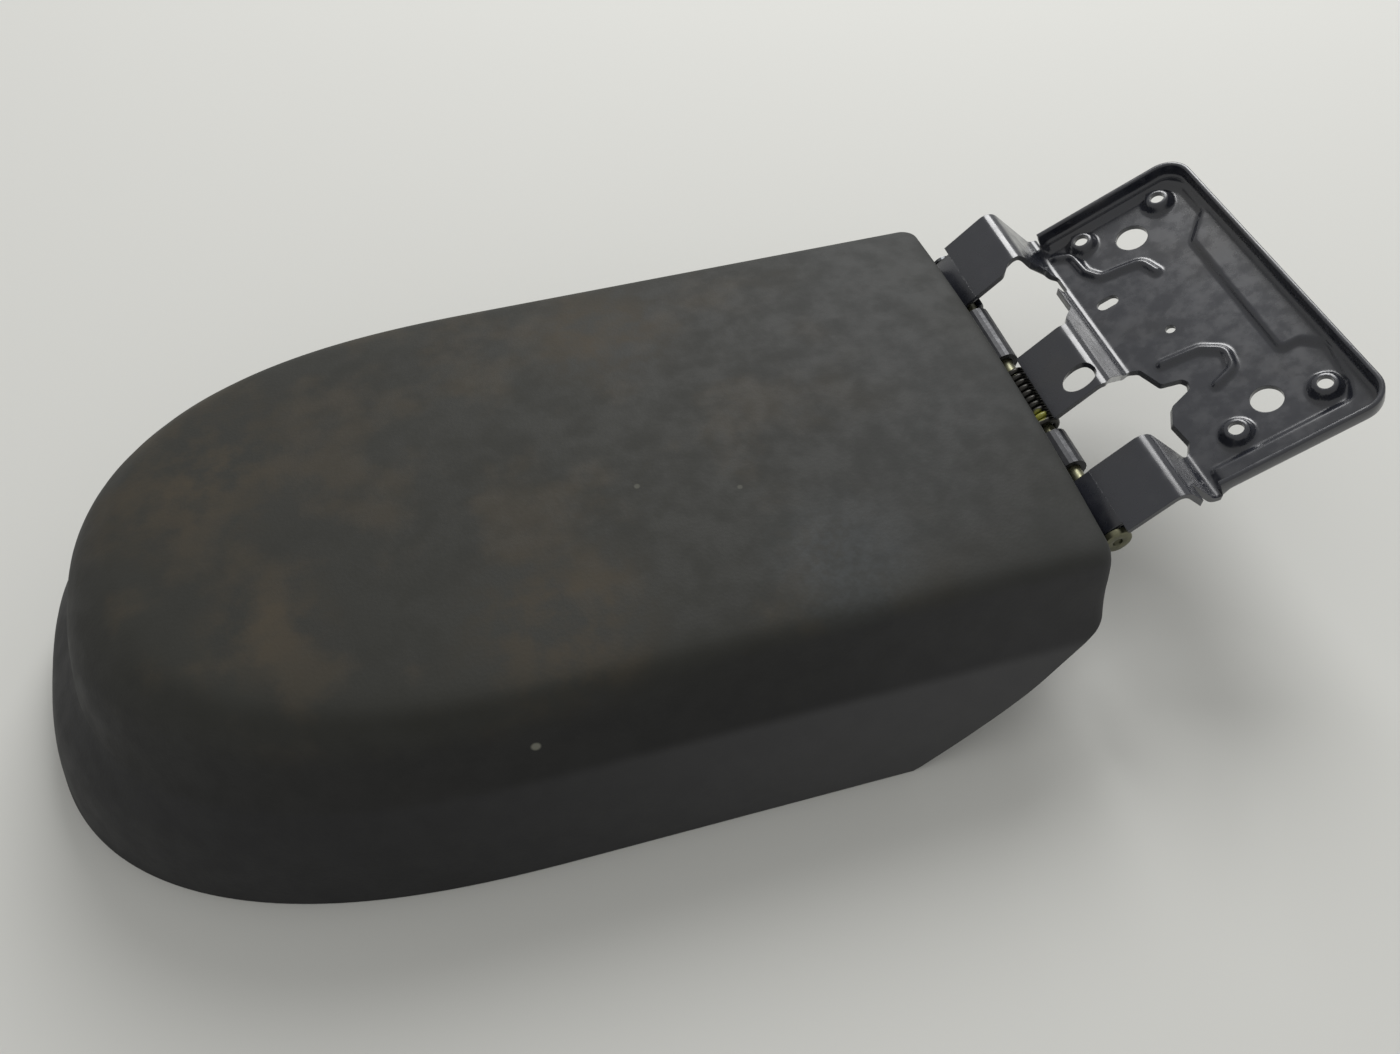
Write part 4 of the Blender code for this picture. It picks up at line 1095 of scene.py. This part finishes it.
@dataclass(frozen=True)
class Bracket:
    """The pressed bracket: arms, plate, beads, bosses, raised border, rim and eyes.

    Places on the plate are along it from its root and across it, but the ledge's line is
    measured back from the far end. The places of webs, notches and crests are in plan,
    from where a bend crosses an arm's edge.
    """

    hinge: Hinge
    valley: tuple = (34.8, 1.2)
    plate_angle: float = 27.0
    plate_length: float = 56.0
    bend: float = 3.0
    rim_height: float = 6.5
    rim_seat: float = 2.5
    plate_corner: float = 9.0
    span: float = 67.0
    plate_edges: tuple = (-60.0, 63.5)
    root: float = 2.5
    fall_reach: float = 8.0
    left_edge: float = 39.5
    right_edge: float = -43.0
    centre: tuple = (-20.3, 7.3)
    arm_start: float = 4.7
    bosses: tuple = ((42.5, 52.8), (14.0, 53.0), (44.2, -43.4), (16.4, -43.4))
    boss_radius: float = 4.5
    boss_height: float = 3.2
    screw_hole: float = 2.3
    locating_holes: tuple = ((28.6, 45.2, 5.3), (29.4, -37.4, 4.8), (20.0, 2.9, 1.6))
    plate_slot: tuple = (9.3, 25.2, 7.4, 2.2)
    arm_slot: tuple = (-6.5, -13.5, 8.8, 4.2)
    ledge_height: float = 1.6
    ledge_side: float = 5.0
    ledge_start: float = 4.0
    ledge_line: tuple = ((8.0, 58.5), (4.6, 53.0), (4.6, 40.0), (13.5, 30.2), (14.9, -24.6),
                         (8.6, -24.8), (3.6, -30.2), (6.3, -46.0), (8.6, -51.0))
    bead_radius: float = 2.3
    bead_height: float = 1.6
    snake_bead: tuple = ((4.0, 54.0), (8.8, 51.0), (9.4, 41.5), (12.5, 36.0), (19.0, 35.0),
                         (26.0, 33.5), (28.0, 26.5))
    hook_bead: tuple = ((11.0, -8.0), (23.0, -9.5), (29.0, -14.5), (27.5, -22.0), (20.6, -24.5))
    left_web: tuple = ((-7.5, 16.0), (-5.0, 19.0))
    left_web_start: tuple = (2.5, 4.0)
    left_notch: tuple = ((-5.0, 2.5), (0.8, 1.5), (0.8, -6.5), (-3.5, -8.5))
    left_crest: tuple = ((5.0, -2.0), (0.5, -3.5), (-3.5, -2.8), (-5.5, 0.0))
    right_notch: tuple = ((0.0, 0.0), (2.0, 1.8), (3.4, 4.5), (2.6, 13.0), (5.3, 19.0))
    right_web: tuple = ((11.9, 1.0), (12.8, -1.5), (11.9, -3.6), (6.6, -5.5), (4.1, -14.4),
                        (1.6, -16.0), (-3.0, -13.5))
    opening_bend: float = 1.6
    corner_bend: float = 1.2
    ledge_bend: float = 2.5
    bead_bend: float = 4.0
    border_past: tuple = (-1.0, 1.0)
    ledge_step: tuple = (-1.0, 1.1)
    ledge_rise: tuple = (-2.0, 1.5)
    boss_step: tuple = (-1.3, 1.2)
    trim: float = 0.6
    overcut: float = 0.5
    flat_within: float = 0.05
    levels: tuple = (40.0, 100.0)
    hole_lifts: tuple = (-6.0, 12.0)
    rim_foot_gap: float = 0.1
    rim_sink: float = 0.05
    rim_fillet: float = 1.4
    rim_top: tuple = ((0.1, -0.5), (0.25, -0.14), (0.6, 0.0), (1.4, 0.0), (1.65, -0.14),
                      (1.8, -0.5))
    eye_turn: float = 265.0
    eye_ease: float = 0.25
    spacing: float = 0.62
    least_step: float = 0.12
    bend_points: int = 9
    corner_points: int = 13
    side_points: int = 40
    end_points: int = 80
    fillet_points: int = 6
    eye_points: int = 49
    sharp: float = 55.0

    def plate_spot(self, along: ndarray, lift: ndarray) -> ndarray:
        """Give X and Z of places on the plate's upper face, or lifted off it.

        Args:
            along: How far along the plate from its root.
            lift: How far off its face.

        Returns:
            X and Z, one row for each place.
        """
        way, normal = unit(self.plate_angle)
        start = hinge_axis() + self.valley
        return start + np.asarray(along)[..., None] * way + np.asarray(lift)[..., None] * normal

    def plate_outline(self, inset: float, start: float) -> ndarray:
        """Give (along, across) round the plate from its root, its far corners round.

        Args:
            inset: How far in from the plate's edge, or past it if negative.
            start: How far along the plate the outline starts and ends.

        Returns:
            The points, one row each.
        """
        far = self.plate_length - inset
        radius = self.plate_corner - inset
        low, high = self.plate_edges[0] + inset, self.plate_edges[1] - inset
        turn = np.linspace(0.0, math.pi / 2, self.corner_points)
        side = np.linspace(start, far - radius, self.side_points, endpoint=False)
        back = np.linspace(high - radius, low + radius, self.end_points)[1:-1]
        left = points_of(far - radius + radius * np.sin(turn),
                         high - radius + radius * np.cos(turn))
        right = points_of(far - radius + radius * np.cos(turn),
                          low + radius - radius * np.sin(turn))
        return np.concatenate([points_of(side, high), left, points_of(far, back), right,
                               points_of(side[::-1], low)])

    def border_share(self, along: ndarray) -> ndarray:
        """Give how far the raised border has risen along the plate from its root."""
        return smoothstep(*(self.ledge_start + step for step in self.ledge_rise), along)

    def pressed_height(self, along: ndarray, across: ndarray) -> ndarray:
        """Give how far the plate is pressed up.

        The border rises by an eased step across its inner line, a bead is the squared
        cosine of the distance to its route, and a boss is an eased cone. The highest
        of them counts.

        Args:
            along: How far along the plate each point is.
            across: How far across it, which is its Y.

        Returns:
            The heights, shaped as along.
        """
        low, high = self.plate_edges
        line = [(self.ledge_start, high - self.ledge_side)]
        line += [(self.plate_length - back, side) for back, side in self.ledge_line]
        line += [(self.ledge_start, low + self.ledge_side + self.ledge_start)]
        inner = rounded(line, self.ledge_bend)
        border = np.concatenate([self.plate_outline(*self.border_past), inner[::-1]])
        depth = distance_to(inner, along, across)
        depth = np.where(inside_outline(border, along, across), depth, -depth)
        height = self.ledge_height * smoothstep(*self.ledge_step, depth) * self.border_share(along)
        for route in (self.snake_bead, self.hook_bead):
            away = distance_to(rounded(route, self.bead_bend), along, across) / self.bead_radius
            ridge = np.cos(np.clip(away, 0.0, 1.0) * math.pi / 2) ** 2
            height = np.maximum(height, self.bead_height * ridge)
        for a, c in self.bosses:
            away = np.hypot(along - a, across - c)
            cone = 1.0 - smoothstep(*(self.boss_radius + step for step in self.boss_step), away)
            height = np.maximum(height, self.boss_height * cone)
        return height

    def profile(self) -> tuple[ndarray, ndarray]:
        """Give the upper face's side profile in X and Z, and its downward normals.

        Straight runs of arm, fall and plate are joined by arcs that touch both of them. The
        points are evenly spaced along the way, with the arcs' own points among them, less
        any that is too near the one before it.

        Returns:
            The profile's points and its normals, one row each.
        """
        corners = [self.hinge.arm_spot(self.arm_start),
                   self.hinge.arm_spot(self.hinge.arm_length), self.plate_spot(0.0, 0.0),
                   self.plate_spot(self.plate_length - self.trim, 0.0)]
        path = [corners[0]]
        for before, corner, after, radius in zip(corners, corners[1:], corners[2:],
                                                 (self.bend + self.hinge.sheet, self.bend)):
            a = (before - corner) / np.linalg.norm(before - corner)
            b = (after - corner) / np.linalg.norm(after - corner)
            half = math.acos(a @ b) / 2.0
            middle = corner + (a + b) / np.linalg.norm(a + b) * radius / math.sin(half)
            first = corner + a * radius / math.tan(half) - middle
            last = corner + b * radius / math.tan(half) - middle
            turn = math.atan2(first[0] * last[1] - first[1] * last[0], first @ last)
            for angle in np.linspace(0.0, turn, self.bend_points):
                c, s = math.cos(angle), math.sin(angle)
                path.append(middle + (first[0] * c - first[1] * s, first[0] * s + first[1] * c))
        path = np.array(path + [corners[-1]])
        steps = np.linalg.norm(np.diff(path, axis=0), axis=1)
        way = np.concatenate([[0.0], np.cumsum(steps)])
        at = np.unique(np.concatenate([np.arange(0.0, way[-1], self.spacing), way]))
        at = at[np.concatenate([[True], np.diff(at) > self.least_step])]
        spots = np.stack([np.interp(at, way, path[:, k]) for k in (0, 1)], axis=1)
        tangent = np.gradient(spots, at, axis=0)
        tangent /= np.linalg.norm(tangent, axis=1)[:, None]
        return spots, points_of(tangent[:, 1], -tangent[:, 0])

    def build_sheet(self) -> Object:
        """Bend and press the sheet, and cut its outline, openings and holes.

        Returns:
            The sheet.
        """
        spots, down = self.profile()
        reach = self.span + self.trim
        across = np.linspace(-reach, reach, int(2 * self.span / self.spacing))
        way, normal = unit(self.plate_angle)
        start = hinge_axis() + self.valley
        along = ((spots - start) @ way)[:, None] + 0.0 * across
        on_plate = (np.abs((spots - start) @ normal) < self.flat_within)[:, None] & (along > 0.0)
        height = np.where(on_plate, self.pressed_height(along, across), 0.0)
        sides = []
        for depth in (0.0, self.hinge.sheet):
            shift = depth - height
            sides.append(points_of(spots[:, 0, None] + shift * down[:, 0, None], across,
                                   spots[:, 1, None] + shift * down[:, 1, None]))
        rows, count = height.shape
        sections = np.concatenate([sides[0], sides[1][:, ::-1]], axis=1)
        faces = grid_faces(rows, 2 * count, closed=True).tolist()
        k = np.arange(count - 1)
        for base in (0, (rows - 1) * 2 * count):
            faces += (base + np.stack([k, k + 1, 2 * count - 2 - k, 2 * count - 1 - k],
                                      axis=1)).tolist()
        slab = new_mesh("pressed sheet", sections.reshape(-1, 3), faces)
        combined(slab, [self.kept_area()], "INTERSECT")
        return combined(slab, self.cutters(), "DIFFERENCE")

    def kept_area(self) -> Object:
        """Give the sheet's plan outline as a tall solid, without the rim.

        Returns:
            The solid.
        """
        crest = self.hinge.arm_spot(self.hinge.arm_length)[0]
        low, high = self.plate_edges
        tail = hinge_axis()[0] - self.hinge.curl_outer
        plate = self.plate_outline(self.rim_seat, self.root)
        plate = points_of(self.plate_spot(plate[:, 0], 0.0)[:, 0], plate[:, 1])
        root = self.plate_spot(self.root, 0.0)[0]
        corners = [(root, low), (crest + self.fall_reach, low),
                   (crest + self.fall_reach, -self.span), (tail, -self.span),
                   (tail, self.span), (root, self.span), (root, high - self.rim_seat)]
        outline = np.concatenate([rounded(corners, self.corner_bend), plate[1:]])
        return plan_prism("kept area", outline, self.levels)

    def cutters(self) -> list[Object]:
        """Give the openings between the arms, the holes and the slots as solids.

        Returns:
            The solids, which don't touch one another.
        """
        axis = hinge_axis()[0]
        crest, valley = self.hinge.arm_spot(self.hinge.arm_length)[0], axis + self.valley[0]
        tail = axis - self.hinge.curl_outer - self.overcut
        right, left = self.centre
        between_left = [(tail, left), (crest, left), *moved((self.left_web_start,), crest, left),
                        *moved(self.left_web, valley, left),
                        *moved(self.left_notch, valley, self.left_edge, -1.0),
                        *moved(self.left_crest, crest, self.left_edge, -1.0),
                        (tail, self.left_edge)]
        between_right = [(tail, self.right_edge), (crest, self.right_edge),
                         *moved(self.right_notch, valley, self.right_edge),
                         *moved(self.right_web, valley, right, -1.0),
                         (crest, right), (tail, right)]
        tools = [plan_prism("opening", rounded(outline, self.opening_bend, closed=True),
                            self.levels) for outline in (between_left, between_right)]
        back, side, length, radius = self.arm_slot
        middle = self.hinge.arm_spot(self.hinge.arm_length + back)[0]
        tools.append(plan_prism("arm slot", slot_outline(middle, side, length, radius),
                                self.levels))
        holes = [circle_outline(a, c, self.screw_hole) for a, c in self.bosses]
        holes += [circle_outline(*hole) for hole in self.locating_holes]
        holes.append(slot_outline(*self.plate_slot))
        for outline in holes:
            along, across = outline.T
            levels = [self.plate_spot(along, lift) for lift in self.hole_lifts]
            tools.append(swept("hole", [points_of(level[:, 0], across, level[:, 1])
                                        for level in levels]))
        return tools

    def build_rim(self) -> Object:
        """Sweep the turned-up rim round the plate, with a round foot and fillet.

        Returns:
            The rim.
        """
        sheet, tall, seat = self.hinge.sheet, self.rim_height, self.rim_seat
        turn = np.linspace(0.0, math.pi / 2, self.fillet_points)
        reach = seat - self.rim_foot_gap
        foot = [(seat - reach * math.sin(t), reach * (1 - math.cos(t)) - sheet) for t in turn]
        round_in = self.rim_fillet
        fillet = [(sheet + round_in * (1 - math.cos(t)), round_in * (1 - math.sin(t)))
                  for t in turn]
        section = ([(inset, lift, 1.0) for inset, lift in foot]
                   + [(inset, tall + lift, 0.0) for inset, lift in self.rim_top]
                   + [(inset, lift, 1.0) for inset, lift in fillet]
                   + [(sheet + round_in, self.rim_sink - sheet, 1.0)])
        rings = []
        for inset, lift, pressed in section:
            along, across = self.plate_outline(inset, self.root).T
            base = pressed * self.ledge_height * self.border_share(along)
            spot = self.plate_spot(along, lift + base)
            rings.append(points_of(spot[:, 0], across, spot[:, 1]))
        return swept("rim", np.stack(rings, axis=1))

    def build_eye(self, low: float, high: float) -> Object:
        """Roll an eye at the end of an outer arm, with eased outer edges.

        Args:
            low: Y of one side.
            high: Y of the other side.

        Returns:
            The eye.
        """
        hinge, axis = self.hinge, hinge_axis()
        sweep = np.linspace(0.0, self.eye_turn, self.eye_points)
        angle = np.radians(90.0 + hinge.arm_angle + sweep)
        ring = points_of(np.cos(angle), np.sin(angle))
        ease, outlines = self.eye_ease, []
        for y, inset in ((low, ease), (low + ease, 0.0), (high - ease, 0.0), (high, ease)):
            outline = np.concatenate([
                [hinge.arm_spot(self.arm_start, -inset)],
                axis + (hinge.curl_outer - inset) * ring,
                axis + (hinge.curl_inner + inset) * ring[::-1],
                [hinge.arm_spot(self.arm_start, inset - hinge.sheet)]])
            outlines.append(points_of(outline[:, 0], y, outline[:, 1]))
        return swept("eye", outlines)

    def build(self) -> None:
        """Build and dress the bracket, which turns about the pin."""
        place_piece(self.build_bracket(), BlackCoat().material(), "bracket",
                    "black_coated_steel", "hinge_bracket")

    def build_bracket(self) -> Object:
        """Build the whole bracket as one piece.

        Returns:
            The bracket.
        """
        parts = [self.build_sheet(), self.build_rim(),
                 self.build_eye(-self.hinge.eye_span, self.right_edge),
                 self.build_eye(self.left_edge, self.hinge.eye_span)]
        return shaded(joined("pressed_bracket", parts), self.sharp)


# The studio


@dataclass(frozen=True)
class Studio:
    """Pale floor, pale surroundings and one large soft light from the far right.

    Places, the lamp's size and the camera's nearest view are metres. The floor's reach,
    the lens and its sensor are millimetres.
    """

    floor: str = "d0d0cc"
    floor_reach: float = 12000.0
    backdrop: tuple = (0.62, 0.62, 0.61, 1.0)
    fill: float = 0.9
    lamp_place: tuple = (0.6, 1.2, 1.3)
    lamp_size: float = 1.0
    lamp_power: float = 22.0
    camera_place: tuple = (-0.048407, -0.23025, 0.31875)
    camera_up: tuple = (0.217, 0.754, 0.619)
    camera_forward: tuple = (0.151, 0.601, -0.785)
    lens: float = 29.24
    sensor: float = 36.0
    nearest: float = 0.01

    def build_floor(self) -> None:
        """Lay a wide pale floor under the part."""
        reach = self.floor_reach
        points = np.array([(-reach, -reach, 0), (reach, -reach, 0), (reach, reach, 0),
                           (-reach, reach, 0)])
        floor = new_mesh("studio_floor", points, [[0, 1, 2, 3]])
        s = Shader("matt_paper_floor")
        floor.data.materials.append(s.finished(Base_Color=self.floor, Roughness=0.9))

    def build_light(self) -> None:
        """Set the surroundings and hang the soft light."""
        world = bpy.data.worlds.new("studio")
        bpy.context.scene.world = world
        world.use_nodes = True
        tree = world.node_tree
        back = tree.nodes["Background"]
        back.inputs["Color"].default_value = self.backdrop
        back.inputs["Strength"].default_value = self.fill
        lamp = bpy.data.lights.new("soft box", "AREA")
        lamp.shape = "DISK"
        lamp.size = self.lamp_size
        lamp.energy = self.lamp_power
        hung = linked("soft box", lamp)
        hung.location = self.lamp_place
        hung.rotation_euler = (-Vector(self.lamp_place)).to_track_quat("-Z", "Y").to_euler()

    def build_camera(self) -> None:
        """Stand the camera where the photo was taken from."""
        forward = Vector(self.camera_forward).normalized()
        right = forward.cross(Vector(self.camera_up)).normalized()
        up = right.cross(forward)
        turn = Matrix((right, up, -forward)).transposed().to_4x4()
        lens = bpy.data.cameras.new("photo camera")
        lens.lens = self.lens
        lens.sensor_width = self.sensor
        lens.clip_start = self.nearest
        stand = linked("photo camera", lens)
        stand.matrix_world = Matrix.Translation(self.camera_place) @ turn
        bpy.context.scene.camera = stand

    def build(self) -> None:
        """Build the floor, the light and the camera."""
        self.build_floor()
        self.build_light()
        self.build_camera()
        bpy.context.scene.view_settings.view_transform = "Standard"


@dataclass(frozen=True)
class CarriedOver:
    """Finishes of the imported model's own parts that stay on show."""

    finishes: tuple = (
        (CARRIER, ("lid_carrier",)), (LINER, ("underside_liner",)), (FOAM, ("foam_pad",)),
        (FRAME_STEEL, ("hinge_frame",)), (CLIP_STEEL, ("pin_clip",)),
        (SCREW_STEEL, tuple(f"frame_screw_{k}" for k in range(1, 5))
         + tuple(f"liner_screw_{k}" for k in range(1, 7))),
        (RUBBER, tuple(f"rubber_bumper_{k}" for k in range(1, 5))),
        (LATCH_PLASTIC, ("latch_lever",)), (LATCH_STEEL, ("latch_pin", "latch_spring")))

    def build(self) -> None:
        """Give each part's material slots the real finish."""
        for finish, nodes in self.finishes:
            material = finish.material()
            for node in nodes:
                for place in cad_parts[node].material_slots:
                    place.material = material
            log.info("%s on %s", material.name, ", ".join(nodes))


def main() -> None:
    """Build every piece in order."""
    logging.basicConfig(level=logging.INFO, format="%(name)s: %(message)s")
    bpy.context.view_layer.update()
    hinge = Hinge()
    for assembly in (Studio(), CarriedOver(), CoverSkin(), hinge, Bracket(hinge)):
        assembly.build()


if __name__ == "__main__":
    main()
